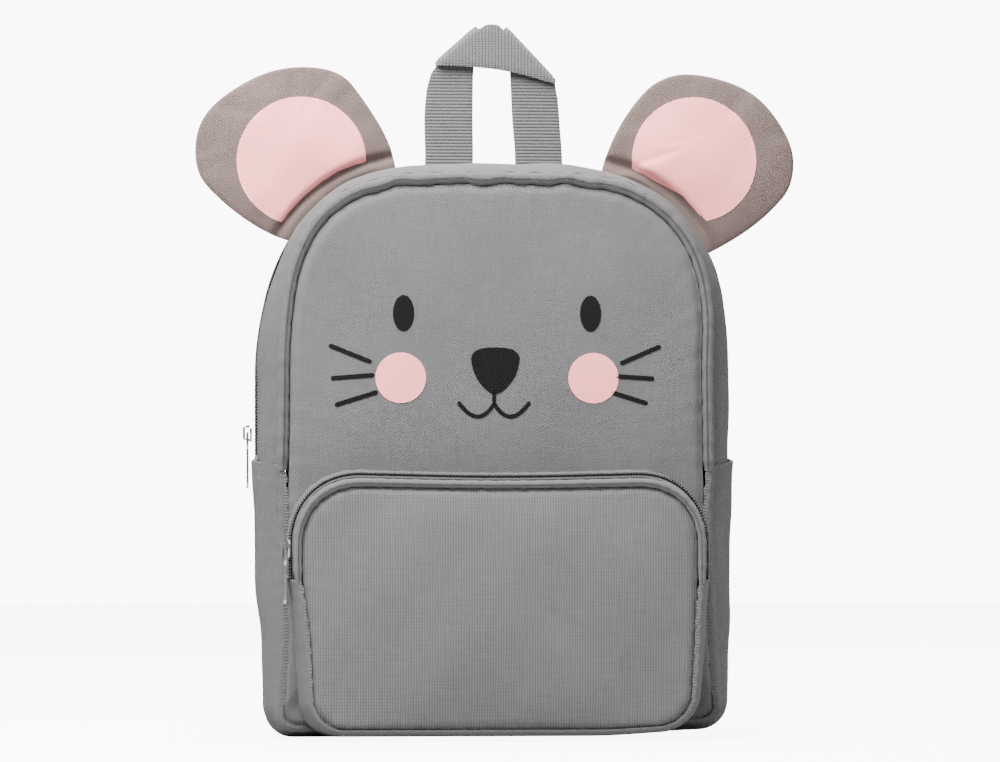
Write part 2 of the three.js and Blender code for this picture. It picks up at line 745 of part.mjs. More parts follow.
function sliderGeometry() {
  const half = sliderLength / 2;
  const waist = sliderWidth * 0.38;
  const plate = new THREE.Shape();
  plate.moveTo(-waist, -half);
  plate.lineTo(waist, -half);
  plate.lineTo(sliderWidth / 2, 0);
  plate.lineTo(sliderWidth / 2, half * 0.6);
  plate.lineTo(waist, half);
  plate.lineTo(-waist, half);
  plate.lineTo(-sliderWidth / 2, half * 0.6);
  plate.lineTo(-sliderWidth / 2, 0);
  plate.closePath();
  const body = extruded(plate, sliderPlate);
  body.translate(0, 0, plateHeight);

  const low = plateHeight + sliderPlate / 2;
  const windowLow = plateHeight + sliderPlate;
  const windowTop = windowLow + bridgeWindow;
  const reach = half - pieceGap;
  const bridge = new THREE.Shape();
  bridge.moveTo(-reach, low);
  bridge.lineTo(-reach, windowLow + bridgeWall);
  bridge.lineTo(-reach + bridgeWindow / 2, windowTop + bridgeWall);
  bridge.lineTo(reach - bridgeWindow / 2, windowTop + bridgeWall);
  bridge.lineTo(reach, windowLow + bridgeWall);
  bridge.lineTo(reach, low);
  bridge.closePath();
  const opening = reach - bridgeWall;
  bridge.holes.push(rectangle(new THREE.Path(), -opening, windowLow, 2 * opening, bridgeWindow));
  const arch = extruded(bridge, bridgeWidth);
  const turned = new THREE.Matrix4().makeBasis(
    new THREE.Vector3(0, 1, 0),
    new THREE.Vector3(0, 0, 1),
    new THREE.Vector3(1, 0, 0),
  );
  arch.applyMatrix4(turned);
  arch.translate(-bridgeWidth / 2, 0, 0);
  return fromManifold(toManifold(body).add(toManifold(arch)));
}

// The pull hangs from its top bar, which lies under the bridge, with the bridge through its eye
function pullGeometry() {
  const top = pullBar / 2;
  const end = -pullLength;
  const outline = new THREE.Shape();
  outline.moveTo(-pullTopWidth / 2, top);
  outline.lineTo(-pullTopWidth / 2, -eyeLength - pullBar);
  outline.lineTo(-pullEndWidth / 2, -eyeLength - 3 * pullBar);
  outline.lineTo(-pullEndWidth / 2, end + pullEndWidth / 2);
  outline.absarc(0, end + pullEndWidth / 2, pullEndWidth / 2, Math.PI, 2 * Math.PI, false);
  outline.lineTo(pullEndWidth / 2, -eyeLength - 3 * pullBar);
  outline.lineTo(pullTopWidth / 2, -eyeLength - pullBar);
  outline.lineTo(pullTopWidth / 2, top);
  outline.closePath();
  const eyeHeight = eyeLength - pullBar / 2;
  outline.holes.push(rectangle(new THREE.Path(), -eyeWidth / 2, -eyeLength, eyeWidth, eyeHeight));
  const geometry = extruded(outline, pullBar);
  geometry.translate(0, 0, pivotHeight - pullBar / 2);
  return geometry;
}

function addSlider(zipName, surface, station, y) {
  const frame = zipFrame(surface, station, y);
  const slider = sliderGeometry();
  slider.applyMatrix4(frame);
  addPiece(`${zipName}_zip_slider`, slider, nickel);
  const pull = pullGeometry();
  pull.applyMatrix4(frame);
  addPiece(`${zipName}_zip_pull`, pull, nickel);
}

addBag();
addPocket();
addEar('ear_left', -1);
addEar('ear_right', 1);
addHandle();
addStrap('left', -1);
addStrap('right', 1);
addSlider('main', bagSurface, leftStationAt(crestLoop, mainSliderHeight), 0);
addSlider('pocket', pocketSurface, leftStationAt(pocketSeamLoop, pocketSliderHeight), -pocketCoilDepth);

export default backpack;
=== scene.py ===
import math

import bmesh
import bpy
import numpy as np
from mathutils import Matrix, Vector
from mathutils.bvhtree import BVHTree


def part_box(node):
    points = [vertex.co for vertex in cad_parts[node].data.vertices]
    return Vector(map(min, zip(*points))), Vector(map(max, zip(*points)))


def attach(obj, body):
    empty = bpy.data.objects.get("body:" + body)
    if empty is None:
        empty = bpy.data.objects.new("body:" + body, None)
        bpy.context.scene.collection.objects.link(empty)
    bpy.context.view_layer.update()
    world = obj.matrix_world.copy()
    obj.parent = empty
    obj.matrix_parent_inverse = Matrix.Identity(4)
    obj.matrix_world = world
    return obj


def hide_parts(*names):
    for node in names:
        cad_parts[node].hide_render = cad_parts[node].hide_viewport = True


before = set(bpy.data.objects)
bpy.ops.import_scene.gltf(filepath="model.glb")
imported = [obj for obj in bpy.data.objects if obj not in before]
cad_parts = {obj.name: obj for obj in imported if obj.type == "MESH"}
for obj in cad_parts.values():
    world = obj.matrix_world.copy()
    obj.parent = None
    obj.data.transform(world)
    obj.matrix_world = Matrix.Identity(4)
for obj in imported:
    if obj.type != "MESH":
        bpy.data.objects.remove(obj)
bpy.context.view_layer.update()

# Sizes in metres. What the frame holds is read from it, and the rest repeats the part's own sizes.
MM = 0.001
BAG = "bag"
CLOTH_WALL = 2 * MM
GAP = 0.3 * MM
panel_low, panel_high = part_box("front_panel")
_, strip_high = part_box("gusset_front_strip")
_, base_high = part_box("gusset_base")
face_low, face_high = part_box("pocket_face")
pocket_base_low, pocket_base_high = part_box("pocket_gusset_base")

PANEL_DOME = 4 * MM
BACK_DOME = 3 * MM
POCKET_DOME = 5 * MM
PANEL_DEPTH = -panel_low[1] - PANEL_DOME
POCKET_FACE_DEPTH = -face_low[1] - POCKET_DOME
ROLL_RADIUS = 3 * MM
ROLL_OFFSET = ROLL_RADIUS + GAP
ROLL_DEPTH = PANEL_DEPTH - 2.8 * MM
GUSSET_EDGE = ROLL_DEPTH - ROLL_OFFSET
CREST_BAND = 20 * MM
ZIP_SLOT_HALF = 9 * MM
COIL_HALF = 2.6 * MM

CREST = {
    "mid_half": strip_high[0],
    "base_half": 117.5 * MM,
    "top": strip_high[2],
    "bottom": 0.0,
    "spring": 180 * MM,
    "split": base_high[2],
    "crown_half": 20 * MM,
    "power": 2.45,
    "corner": 14 * MM,
}
SEAM = {
    **CREST,
    "mid_half": CREST["mid_half"] - 17.3 * MM,
    "base_half": panel_high[0],
    "top": panel_high[2],
    "bottom": panel_low[2],
    "spring": 190 * MM,
    "power": 2.85,
    "corner": 10 * MM,
}
POCKET_ROLL_RADIUS = 2.15 * MM
POCKET_ROLL_OFFSET = POCKET_ROLL_RADIUS + GAP
POCKET_SEAM = {
    "mid_half": face_high[0],
    "base_half": face_high[0] - 2.2 * MM,
    "top": face_high[2],
    "bottom": face_low[2],
    "spring": face_high[2] - 30 * MM,
    "split": pocket_base_high[2],
    "crown_half": face_high[0] - 30 * MM,
    "power": 2.2,
    "corner": 17 * MM,
}
POCKET_ROLL_DEPTH = POCKET_FACE_DEPTH - 1.6 * MM
POCKET_GUSSET_FRONT = POCKET_ROLL_DEPTH - POCKET_ROLL_OFFSET
POCKET_TAPE = 3.1 * MM
POCKET_COIL_DEPTH = POCKET_GUSSET_FRONT - POCKET_TAPE - COIL_HALF - GAP

# The image that the camera frames, and how many metres of the object one of its pixels covers
IMAGE_SIZE = (1000, 762)
PIXEL = 0.51 * MM
FLOOR_PIXEL = 733.5


def lerp(start, end, share):
    return start + (end - start) * share


# Outlines: loops of six stretches on each side, as the part's own are


def grown(loop, amount):
    bigger = dict(loop)
    for key in ("mid_half", "base_half", "top", "corner"):
        bigger[key] = loop[key] + amount
    bigger["bottom"] = loop["bottom"] - amount
    return bigger


def blended(start, end, share):
    return {key: lerp(start[key], end[key], share) for key in start}


ROLL_LOOP = grown(SEAM, ROLL_OFFSET)
POCKET_ROLL_LOOP = grown(POCKET_SEAM, POCKET_ROLL_OFFSET)
POCKET_BACK_LOOP = {
    **POCKET_ROLL_LOOP,
    "mid_half": pocket_base_high[0],
    "base_half": pocket_base_high[0] - 4 * MM,
    "top": POCKET_ROLL_LOOP["top"] + 7.0 * MM,
    "bottom": pocket_base_low[2],
}


def side_x(loop, z):
    drop = (loop["spring"] - z) / (loop["spring"] - loop["bottom"] - loop["corner"])
    return lerp(loop["mid_half"], loop["base_half"], drop * drop)


def loop_point(loop, station):
    """A loop's x and z at a station, which is a stretch's number plus a share, and minus on the left."""
    part = np.abs(station)
    share = part - np.minimum(np.floor(part), 5)
    turn = share * np.pi / 2
    corner_top = loop["bottom"] + loop["corner"]
    lower = lerp(corner_top, loop["split"], share)
    upper = lerp(loop["split"], loop["spring"], share)
    power = 2 / loop["power"]
    reach = loop["mid_half"] - loop["crown_half"]
    rise = loop["top"] - loop["spring"]
    xs = [
        share * (loop["base_half"] - loop["corner"]),
        loop["base_half"] - loop["corner"] * (1 - np.sin(turn)),
        side_x(loop, lower),
        side_x(loop, upper),
        loop["crown_half"] + reach * np.abs(np.cos(turn)) ** power,
        loop["crown_half"] * (1 - share),
    ]
    zs = [
        loop["bottom"] + 0 * part,
        loop["bottom"] + loop["corner"] * (1 - np.cos(turn)),
        lower,
        upper,
        loop["spring"] + rise * np.abs(np.sin(turn)) ** power,
        loop["top"] + 0 * part,
    ]
    stretch = [part < number for number in range(1, 6)]
    x = np.select(stretch, xs[:5], xs[5])
    z = np.select(stretch, zs[:5], zs[5])
    return np.where(station < 0, -x, x), z


def even_stations(loop, first, last, spacing):
    """Stations from first to last that lie evenly along the loop, and how far along each one is."""
    dense = np.linspace(first, last, 4000)
    folded = np.where(dense > 6, dense - 12, dense)
    x, z = loop_point(loop, folded)
    steps = np.hypot(np.diff(x), np.diff(z))
    along = np.concatenate([[0], np.cumsum(steps)])
    count = max(4, round(along[-1] / spacing))
    even = np.linspace(0, along[-1], count + 1)
    stations = np.interp(even, along, dense)
    return np.where(stations > 6, stations - 12, stations), even


def whole_loop(loop, spacing):
    stations, along = even_stations(loop, 0, 12 - 1e-9, spacing)
    return stations[:-1], along[:-1], along[-1]


def top_run(loop, spacing, start=3.01):
    stations, along = even_stations(loop, start, 12 - start, spacing)
    return stations, along


def base_run(loop, spacing):
    stations, along = even_stations(loop, -3, 3, spacing)
    return stations, along


def ripple(along, length, counts, phase=0.0):
    """A lasting small wave along a seam: whole numbers of waves of several lengths, so that it joins up."""
    total = 0 * along
    for number, count in enumerate(counts):
        turn = 2 * np.pi * count * along / length
        total = total + np.sin(turn + phase + 1.7 * number * (number + 1)) / (1 + 0.35 * number)
    return total / len(counts) ** 0.5


def dome(loop, height, x, z):
    middle = (loop["top"] + loop["bottom"]) / 2
    across = np.abs(x / loop["base_half"]) ** 2.2
    up = np.abs((z - middle) / (loop["top"] - middle)) ** 2.2
    return height * (1 - across) * (1 - up)


def soft_waves(x, z, size, phase):
    """Slow swells and dents of a soft panel, between about -1 and 1."""
    u = x / size
    v = z / size
    first = np.sin(2.1 * u + 1.3 * v + phase) * np.cos(1.7 * v - 0.6 * u + 2 * phase)
    second = np.sin(4.3 * u - 3.1 * v + 3 * phase) * 0.35
    return first * 0.75 + second


# Meshes


def set_uv(mesh, uv):
    layer = mesh.uv_layers.new(name="cloth")
    index = np.empty(len(mesh.loops), dtype=np.int32)
    mesh.loops.foreach_get("vertex_index", index)
    layer.data.foreach_set("uv", np.asarray(uv, dtype=np.float32)[index].ravel())


def make_piece(name, vertices, faces, uv, material, sharp=40):
    mesh = bpy.data.meshes.new(name)
    mesh.from_pydata([tuple(v) for v in vertices], [], faces)
    mesh.validate()
    set_uv(mesh, uv)
    mesh.materials.append(material)
    mesh.shade_smooth()
    mesh.set_sharp_from_angle(angle=math.radians(sharp))
    piece = bpy.data.objects.new(name, mesh)
    bpy.context.scene.collection.objects.link(piece)
    return piece


def face_out(piece):
    edit = bmesh.new()
    edit.from_mesh(piece.data)
    bmesh.ops.recalc_face_normals(edit, faces=edit.faces)
    if edit.calc_volume(signed=True) < 0:
        bmesh.ops.reverse_faces(edit, faces=edit.faces)
    edit.to_mesh(piece.data)
    edit.free()


def grid_faces(columns, rows, closed, first=0, flip=False):
    spans = columns if closed else columns - 1
    i = np.arange(spans)[:, None]
    j = np.arange(rows - 1)[None, :]
    here = first + i * rows + j
    following = first + ((i + 1) % columns) * rows + j
    corners = [here, following, following + 1, here + 1]
    if flip:
        corners.reverse()
    return np.stack(corners, axis=-1).reshape(-1, 4).tolist()


def grid_uv(grid):
    """Distances along and across a grid of points, which the weave follows."""
    along = np.linalg.norm(np.diff(grid, axis=0), axis=2).mean(axis=1)
    across = np.linalg.norm(np.diff(grid, axis=1), axis=2)
    u = np.concatenate([[0], np.cumsum(along)])[:, None] + np.zeros(grid.shape[1])
    v = np.concatenate([np.zeros((grid.shape[0], 1)), np.cumsum(across, axis=1)], axis=1)
    return np.stack([u, v], axis=-1).reshape(-1, 2)


def wall_piece(name, outer, inner, closed, material, uv=None, sharp=40):
    """A closed wall between two matching grids of points."""
    columns, rows = outer.shape[:2]
    count = columns * rows
    faces = grid_faces(columns, rows, closed)
    faces += grid_faces(columns, rows, closed, count, flip=True)
    spans = columns if closed else columns - 1
    for i in range(spans):
        near, far = i * rows, ((i + 1) % columns) * rows
        faces.append([near, near + count, far + count, far])
        faces.append([near + rows - 1, far + rows - 1, far + rows - 1 + count, near + rows - 1 + count])
    if not closed:
        end = (columns - 1) * rows
        for j in range(rows - 1):
            faces.append([j, j + 1, j + 1 + count, j + count])
            faces.append([end + j, end + j + count, end + j + 1 + count, end + j + 1])
    vertices = np.concatenate([outer.reshape(-1, 3), inner.reshape(-1, 3)])
    flat = grid_uv(outer) if uv is None else uv.reshape(-1, 2)
    piece = make_piece(name, vertices, faces, np.concatenate([flat, flat]), material, sharp)
    face_out(piece)
    return piece


def disc_piece(name, outer, inner, material, sharp=40):
    """A closed panel between two rings of columns that run from a shared middle point to the rim."""
    columns, rows = outer.shape[:2]
    count = columns * (rows - 1)
    rings_out = outer[:, 1:].reshape(-1, 3)
    rings_in = inner[:, 1:].reshape(-1, 3)
    middle = [outer[0, 0], inner[0, 0]]
    vertices = np.concatenate([rings_out, rings_in, middle])
    faces = grid_faces(columns, rows - 1, True)
    faces += grid_faces(columns, rows - 1, True, count, flip=True)
    step = rows - 1
    for i in range(columns):
        near, far = i * step, ((i + 1) % columns) * step
        faces.append([2 * count, far, near])
        faces.append([2 * count + 1, near + count, far + count])
        faces.append([near + step - 1, far + step - 1, far + step - 1 + count, near + step - 1 + count])
    uv = vertices[:, [0, 2]]
    piece = make_piece(name, vertices, faces, uv, material, sharp)
    face_out(piece)
    return piece


def stand_for(piece, slot, *nodes, body=BAG):
    """The piece rides on its body and hides the CAD nodes that it stands for. The slot is not used."""
    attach(piece, body)
    if nodes:
        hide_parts(*nodes)
    return piece


def smooth(start, end, value):
    share = np.clip((value - start) / (end - start), 0, 1)
    return share * share * (3 - 2 * share)


LEFT_DRAWN_IN = 2.6 * MM
SHOULDER_DRAWN_IN = 1.1 * MM
CORNER_KINK = 4.2 * MM
RIGHT_LIFTED = 3.2 * MM
SEAM_GATHER = 0.55 * MM
LONG_GATHER = 4.4 * MM
SHORT_GATHER = 2.7 * MM


def slumped(x, y, z):
    """How an empty bag stands: its lower left side drawn in, its corners pushed out, its right lifted."""
    left = smooth(0, -118 * MM, x)
    low = 1 - smooth(40 * MM, 88 * MM, z)
    shoulder = smooth(185 * MM, 220 * MM, z) * (1 - smooth(240 * MM, 275 * MM, z))
    outside = smooth(60 * MM, 110 * MM, np.abs(x))
    sideways = LEFT_DRAWN_IN * left * low + SHOULDER_DRAWN_IN * shoulder * outside
    across = smooth(92 * MM, 108 * MM, np.abs(x)) * (1 - smooth(109 * MM, 118 * MM, np.abs(x)))
    front = smooth(30 * MM, 44 * MM, -y) * (1 - smooth(50 * MM, 56 * MM, -y))
    kink = CORNER_KINK * across * front * np.exp(-(((z - 4 * MM) / (8 * MM)) ** 2))
    lifted = RIGHT_LIFTED * smooth(45 * MM, 112 * MM, x) * (1 - smooth(0, 70 * MM, z))
    at_seam = np.exp(-(((z - SEAM["top"]) / (6 * MM)) ** 2)) * smooth(30 * MM, 40 * MM, -y)
    gather = np.sin(x / LONG_GATHER) + 0.6 * np.sin(x / SHORT_GATHER + 1.0)
    drawn = SEAM_GATHER * at_seam * gather * (1 - smooth(60 * MM, 85 * MM, np.abs(x)))
    return x + sideways + np.sign(x) * kink, y, z + lifted + drawn


def points(x, y, z):
    x, y, z = np.broadcast_arrays(x, y, z)
    return np.stack(slumped(x, y, z), axis=-1)


# Finishes


SET_BRIGHTNESS = 3.5


def linear(*levels):
    """The colour of a cloth that looks like these 0 to 255 levels in a brightly lit white set."""
    channels = []
    for level in levels:
        share = level / 255
        bright = share / 12.92 if share <= 0.04045 else ((share + 0.055) / 1.055) ** 2.4
        channels.append(bright / SET_BRIGHTNESS)
    return (*channels, 1.0)


class Finish:
    """A node material that is put together one value at a time."""

    def __init__(self, name):
        self.material = bpy.data.materials.new(name)
        self.material.use_nodes = True
        self.nodes = self.material.node_tree.nodes
        self.links = self.material.node_tree.links
        self.surface = self.nodes["Principled BSDF"]

    def put(self, socket, value):
        if isinstance(value, bpy.types.NodeSocket):
            self.links.new(value, socket)
        else:
            socket.default_value = value

    def math(self, operation, *values):
        node = self.nodes.new("ShaderNodeMath")
        node.operation = operation
        for socket, value in zip(node.inputs, values):
            self.put(socket, value)
        return node.outputs[0]

    def cloth_uv(self):
        node = self.nodes.new("ShaderNodeUVMap")
        node.uv_map = "cloth"
        return node.outputs["UV"]

    def object_place(self):
        return self.nodes.new("ShaderNodeTexCoord").outputs["Object"]

    def scaled(self, vector, x, y, z=1.0, angle=0.0):
        node = self.nodes.new("ShaderNodeMapping")
        self.put(node.inputs["Vector"], vector)
        node.inputs["Rotation"].default_value = (0.0, 0.0, angle)
        node.inputs["Scale"].default_value = (x, y, z)
        return node.outputs["Vector"]

    def parts(self, vector):
        node = self.nodes.new("ShaderNodeSeparateXYZ")
        self.put(node.inputs["Vector"], vector)
        return node.outputs

    def noise(self, vector, size, detail=2.0):
        node = self.nodes.new("ShaderNodeTexNoise")
        self.put(node.inputs["Vector"], vector)
        node.inputs["Scale"].default_value = 1 / size
        node.inputs["Detail"].default_value = detail
        return node.outputs["Fac"]

    def mix(self, share, first, second):
        node = self.nodes.new("ShaderNodeMix")
        node.data_type = "RGBA"
        self.put(node.inputs["Factor"], share)
        self.put(node.inputs["A"], first)
        self.put(node.inputs["B"], second)
        return node.outputs["Result"]

    def shade(self, colour, share, depth):
        """The colour, darker by up to depth where share is small."""
        darker = tuple(channel * (1 - depth) for channel in colour[:3]) + (1.0,)
        return self.mix(share, darker, colour)

    def bump(self, height, depth, strength=1.0):
        node = self.nodes.new("ShaderNodeBump")
        node.inputs["Distance"].default_value = depth
        node.inputs["Strength"].default_value = strength
        self.put(node.inputs["Height"], height)
        self.put(self.surface.inputs["Normal"], node.outputs["Normal"])

    def finish(self, colour, roughness, metallic=0.0, sheen=0.0, gloss=0.5):
        self.put(self.surface.inputs["Base Color"], colour)
        self.put(self.surface.inputs["Roughness"], roughness)
        self.put(self.surface.inputs["Metallic"], metallic)
        self.put(self.surface.inputs["Sheen Weight"], sheen)
        self.put(self.surface.inputs["Sheen Roughness"], 0.5)
        self.put(self.surface.inputs["Specular IOR Level"], gloss)
        return self.material


WEAVE_PITCH = 0.95 * MM
THREAD_DEPTH = 0.3 * MM


def woven(name, colour, pitch=WEAVE_PITCH, pick=WEAVE_PITCH, depth=THREAD_DEPTH, contrast=0.75, bias=0.62):
    """Plain weave: threads pass over and under, with thicker and thinner yarns among them."""
    paint = Finish(name)
    place = paint.cloth_uv()
    wander = paint.noise(place, 14 * MM, 1.0)
    across, along, _ = paint.parts(paint.scaled(place, np.pi / pitch, np.pi / pick, angle=bias))
    warp = paint.math("SINE", paint.math("ADD", across, wander))
    weft = paint.math("SINE", paint.math("ADD", along, wander))
    crossing = paint.math("ABSOLUTE", paint.math("MULTIPLY", warp, weft))
    slub_across = paint.noise(paint.scaled(place, 1.0, 0.06), 0.9 * MM, 2.0)
    slub_along = paint.noise(paint.scaled(place, 0.06, 1.0), 0.9 * MM, 2.0)
    slub = paint.math("ADD", slub_across, slub_along)
    height = paint.math("MULTIPLY_ADD", slub, 0.45, crossing)
    cloud = paint.noise(place, 45 * MM, 3.0)
    tone = paint.math("MULTIPLY_ADD", cloud, 0.25, paint.math("MULTIPLY", height, 0.62))
    paint.bump(height, depth)
    return paint.finish(paint.shade(colour, tone, contrast), 0.92, sheen=0.01, gloss=0.2)


def ribbed(name, colour, pitch, rib, depth, contrast=0.35):
    """Webbing and tape: ribs across, crossed by finer threads along."""
    paint = Finish(name)
    place = paint.cloth_uv()
    across, along, _ = paint.parts(paint.scaled(place, np.pi / rib, np.pi / pitch))
    ribs = paint.math("ABSOLUTE", paint.math("SINE", across))
    threads = paint.math("ABSOLUTE", paint.math("SINE", along))
    fuzz = paint.noise(place, 0.6 * MM, 2.0)
    height = paint.math("MULTIPLY_ADD", threads, 0.4, ribs)
    height = paint.math("MULTIPLY_ADD", fuzz, 0.3, height)
    tone = paint.math("MULTIPLY", height, 0.6)
    paint.bump(height, depth)
    return paint.finish(paint.shade(colour, tone, contrast), 0.85, sheen=0.1)


def plastic(name, colour, roughness, grain, depth):
    paint = Finish(name)
    place = paint.object_place()
    speck = paint.noise(place, grain, 3.0)
    paint.bump(speck, depth)
    rough = paint.math("MULTIPLY_ADD", speck, 0.15, roughness)
    return paint.finish(paint.shade(colour, speck, 0.2), rough)


def metal(name, colour):
    paint = Finish(name)
    place = paint.object_place()
    brushed = paint.noise(paint.scaled(place, 1.0, 1.0, 0.15), 0.5 * MM, 3.0)
    cloud = paint.noise(place, 6 * MM, 2.0)
    paint.bump(brushed, 0.01 * MM, 0.5)
    rough = paint.math("MULTIPLY_ADD", cloud, 0.12, 0.16)
    return paint.finish(paint.shade(colour, brushed, 0.12), rough, metallic=1.0)


GREY = linear(185, 184, 187)
grey_cloth = woven("grey cloth", GREY)
strip_cloth = woven("gusset cloth", linear(178, 176, 176))
# The ear cloth is the bag's grey cloth with a warm tint added: a painted reflection of pink light from the
# ear's print.
ear_cloth = woven("ear cloth with painted pink reflection", linear(204, 176, 169))
pocket_cloth = woven("pocket cloth", GREY, pitch=1.3 * MM, pick=0.7 * MM, contrast=0.75, bias=0.0)
tape_cloth = ribbed("zip tape", linear(92, 92, 95), 0.5 * MM, 0.9 * MM, 0.1 * MM)
webbing_cloth = ribbed("webbing", linear(165, 165, 166), 0.9 * MM, 1.7 * MM, 0.35 * MM, 0.5)
coil_plastic = plastic("zip coil", linear(62, 62, 66), 0.24, 0.8 * MM, 0.02 * MM)
black_plastic = plastic("adjuster plastic", linear(34, 34, 36), 0.35, 0.7 * MM, 0.03 * MM)
nickel = metal("nickel", (0.50, 0.49, 0.47, 1.0))


# Bag: panels, edge rolls, gusset

# How many small waves a seam makes along its length, and how finely the cloth is divided
SEAM_WAVES = (61, 97, 143)
PANEL_STEP = 2.2 * MM
BACK_STEP = 4 * MM
ROLL_STEP = 1.6 * MM
STRIP_STEP = 2.4 * MM
POCKET_STEP = 1.8 * MM
POCKET_ROLL_STEP = 1.2 * MM
# How deep the seams draw the cloth in, and how much they pucker it
SEAM_DIP = 2.3 * MM
SEAM_CREASE = 0.45 * MM
CORNER_DENT = 2.6 * MM
CORNER_DENT_X = 99 * MM
CORNER_DENT_Z = 15 * MM
PANEL_SWELL = 0.7 * MM
PANEL_SWELL_SPAN = 62 * MM
BACK_DIP = 1.5 * MM
BACK_CREASE = 0.4 * MM
ROLL_PUCKER = 0.28 * MM
BACK_PAD = 4 * MM
PANEL_WALL = 0.8 * CLOTH_WALL
INNER_SHARE = 0.985


def panel_grid(loop, stations, shares):
    """Points from the panel's middle to its rim, and how far each one is from the rim."""
    rim_x, rim_z = loop_point(loop, stations)
    middle = (loop["top"] + loop["bottom"]) / 2
    x = rim_x[:, None] * shares
    z = middle + (rim_z - middle)[:, None] * shares
    reach = np.hypot(rim_x, rim_z - middle)[:, None]
    return x, z, (1 - shares) * reach


def rim_shares(count, closeness=1.7):
    return 1 - (1 - np.linspace(0, 1, count)) ** closeness


def panel_depth(x, z, edge, along, length):
    """How far forward the front panel's cloth is, with its puckered dip at the seam."""
    pucker = ripple(along, length, SEAM_WAVES)[:, None]
    fade = np.minimum(1, edge / (25 * MM))
    swell = PANEL_SWELL * soft_waves(x, z, PANEL_SWELL_SPAN, 0.8) * fade
    near = np.exp(-((edge / (2.6 * MM)) ** 2))
    crease = np.exp(-edge / (7 * MM)) * pucker
    corner = np.exp(-(((np.abs(x) - CORNER_DENT_X) / (8 * MM)) ** 2) - ((z - CORNER_DENT_Z) / (9 * MM)) ** 2)
    dip = SEAM_DIP * near + CORNER_DENT * corner
    return PANEL_DEPTH + dome(SEAM, PANEL_DOME, x, z) + swell - dip + SEAM_CREASE * crease


# Each row of a seam allowance: how far out and how far in it lies from the seam
ALLOWANCE_ROWS = ((0.15 * MM, 2 * MM), (0.2 * MM, 6 * MM), (1.0 * MM, 8 * MM))


def with_allowance(loop, stations, grid, side):
    """Adds the seam allowance, which turns in from a panel's rim."""
    rim = grid[:, -1]
    rows = [grid]
    for growth, inwards in ALLOWANCE_ROWS:
        x, z = loop_point(grown(loop, growth), stations)
        rows.append(points(x, rim[:, 1] - side * inwards, z)[:, None])
    return np.concatenate(rows, axis=1)


def front_panel():
    stations, along, length = whole_loop(SEAM, PANEL_STEP)
    x, z, edge = panel_grid(SEAM, stations, rim_shares(64))
    depth = panel_depth(x, z, edge, along, length)
    outer = points(x, -depth, z)
    inner = points(x * INNER_SHARE, -depth + PANEL_WALL, z)
    outer = with_allowance(SEAM, stations, outer, -1)
    inner = with_allowance(grown(SEAM, -1.2 * MM), stations, inner, -1)
    piece = disc_piece("front_panel_cloth", outer, inner, grey_cloth)
    return stand_for(piece, "grey_cloth", "front_panel")


def back_panel():
    stations, along, length = whole_loop(SEAM, BACK_STEP)
    x, z, edge = panel_grid(SEAM, stations, rim_shares(40))
    near = np.exp(-((edge / (3 * MM)) ** 2))
    crease = np.exp(-edge / (8 * MM)) * ripple(along, length, SEAM_WAVES, 2.0)[:, None]
    depth = PANEL_DEPTH + dome(SEAM, BACK_DOME, x, z) - BACK_DIP * near + BACK_CREASE * crease
    outer = points(x, depth, z)
    inner = points(x, depth - BACK_PAD, z)
    piece = disc_piece("back_panel_cloth", outer, inner, grey_cloth)
    return stand_for(piece, "grey_cloth", "back_panel")


def crest_surface(station, y, lift=0.0):
    """A point of the gusset at a station and depth, lifted off it."""
    fall = np.clip((np.abs(y) - CREST_BAND) / (GUSSET_EDGE - CREST_BAND), 0, 1) ** 2
    return loop_point(grown(blended(CREST, ROLL_LOOP, fall), lift), station)


def roll_rings(loop, stations, size, radius, depth, flatness, side):
    """Rings of points round a cloth roll that follows a loop, each ring with its own radius."""
    turn = np.linspace(0, 2 * np.pi, 16, endpoint=False)[None, :]
    lift = radius * np.sin(turn)
    x, z = loop_point(loop, stations)
    away_x, away_z = loop_point(grown(loop, size), stations)
    out_x = (away_x - x)[:, None] / size
    out_z = (away_z - z)[:, None] / size
    y = side * (depth + flatness * radius * np.cos(turn))
    return x[:, None] + out_x * lift, y, z[:, None] + out_z * lift


def tapered(along, length, run, thinnest):
    """A roll's thickness along its length, thinner where its two ends are sewn down."""
    to_end = np.minimum(along, length - along)[:, None]
    return lerp(thinnest, 1, smooth(0, run, to_end))


def edge_roll(name, side, node):
    """The cloth rolled over the seam allowance, from one side patch over the top to the other."""
    stations, along = top_run(ROLL_LOOP, ROLL_STEP, 2.98)
    length = along[-1]
    pucker = ripple(along, length, (37, 59, 83), side)[:, None]
    radius = (ROLL_RADIUS + ROLL_PUCKER * pucker) * tapered(along, length, 6 * MM, 0.8)
    rings = roll_rings(ROLL_LOOP, stations, ROLL_RADIUS, radius, ROLL_DEPTH, 0.92, side)
    return tube_piece(name, points(*rings), strip_cloth, node)


def tube_piece(name, grid, material, node, slot="grey_cloth"):
    """A closed tube from rings of points, with its two ends filled in."""
    columns, rows = grid.shape[:2]
    i = np.arange(columns - 1)[:, None]
    j = np.arange(rows)[None, :]
    following = (j + 1) % rows
    corners = [i * rows + j, (i + 1) * rows + j, (i + 1) * rows + following, i * rows + following]
    faces = np.stack(corners, axis=-1).reshape(-1, 4).tolist()
    faces.append(list(range(rows)))
    faces.append(list(range((columns - 1) * rows, columns * rows)))
    piece = make_piece(name, grid.reshape(-1, 3), faces, grid_uv(grid), material)
    face_out(piece)
    return stand_for(piece, slot, node)


def laid_cloth(name, surface, stations, y, lift, wall, node, material=strip_cloth, slot="grey_cloth",
               rise=0.0, sag=None):
    """A wall of cloth that lies on a surface, from its lifted face to one wall below."""
    sides = []
    for height in (lift, lift - wall):
        x, z = surface(stations[:, None], y, height)
        z = z + rise if sag is None else z + rise - sag(x, z)
        sides.append(points(x, y, z))
    piece = wall_piece(name, *sides, False, material)
    return stand_for(piece, slot, node)


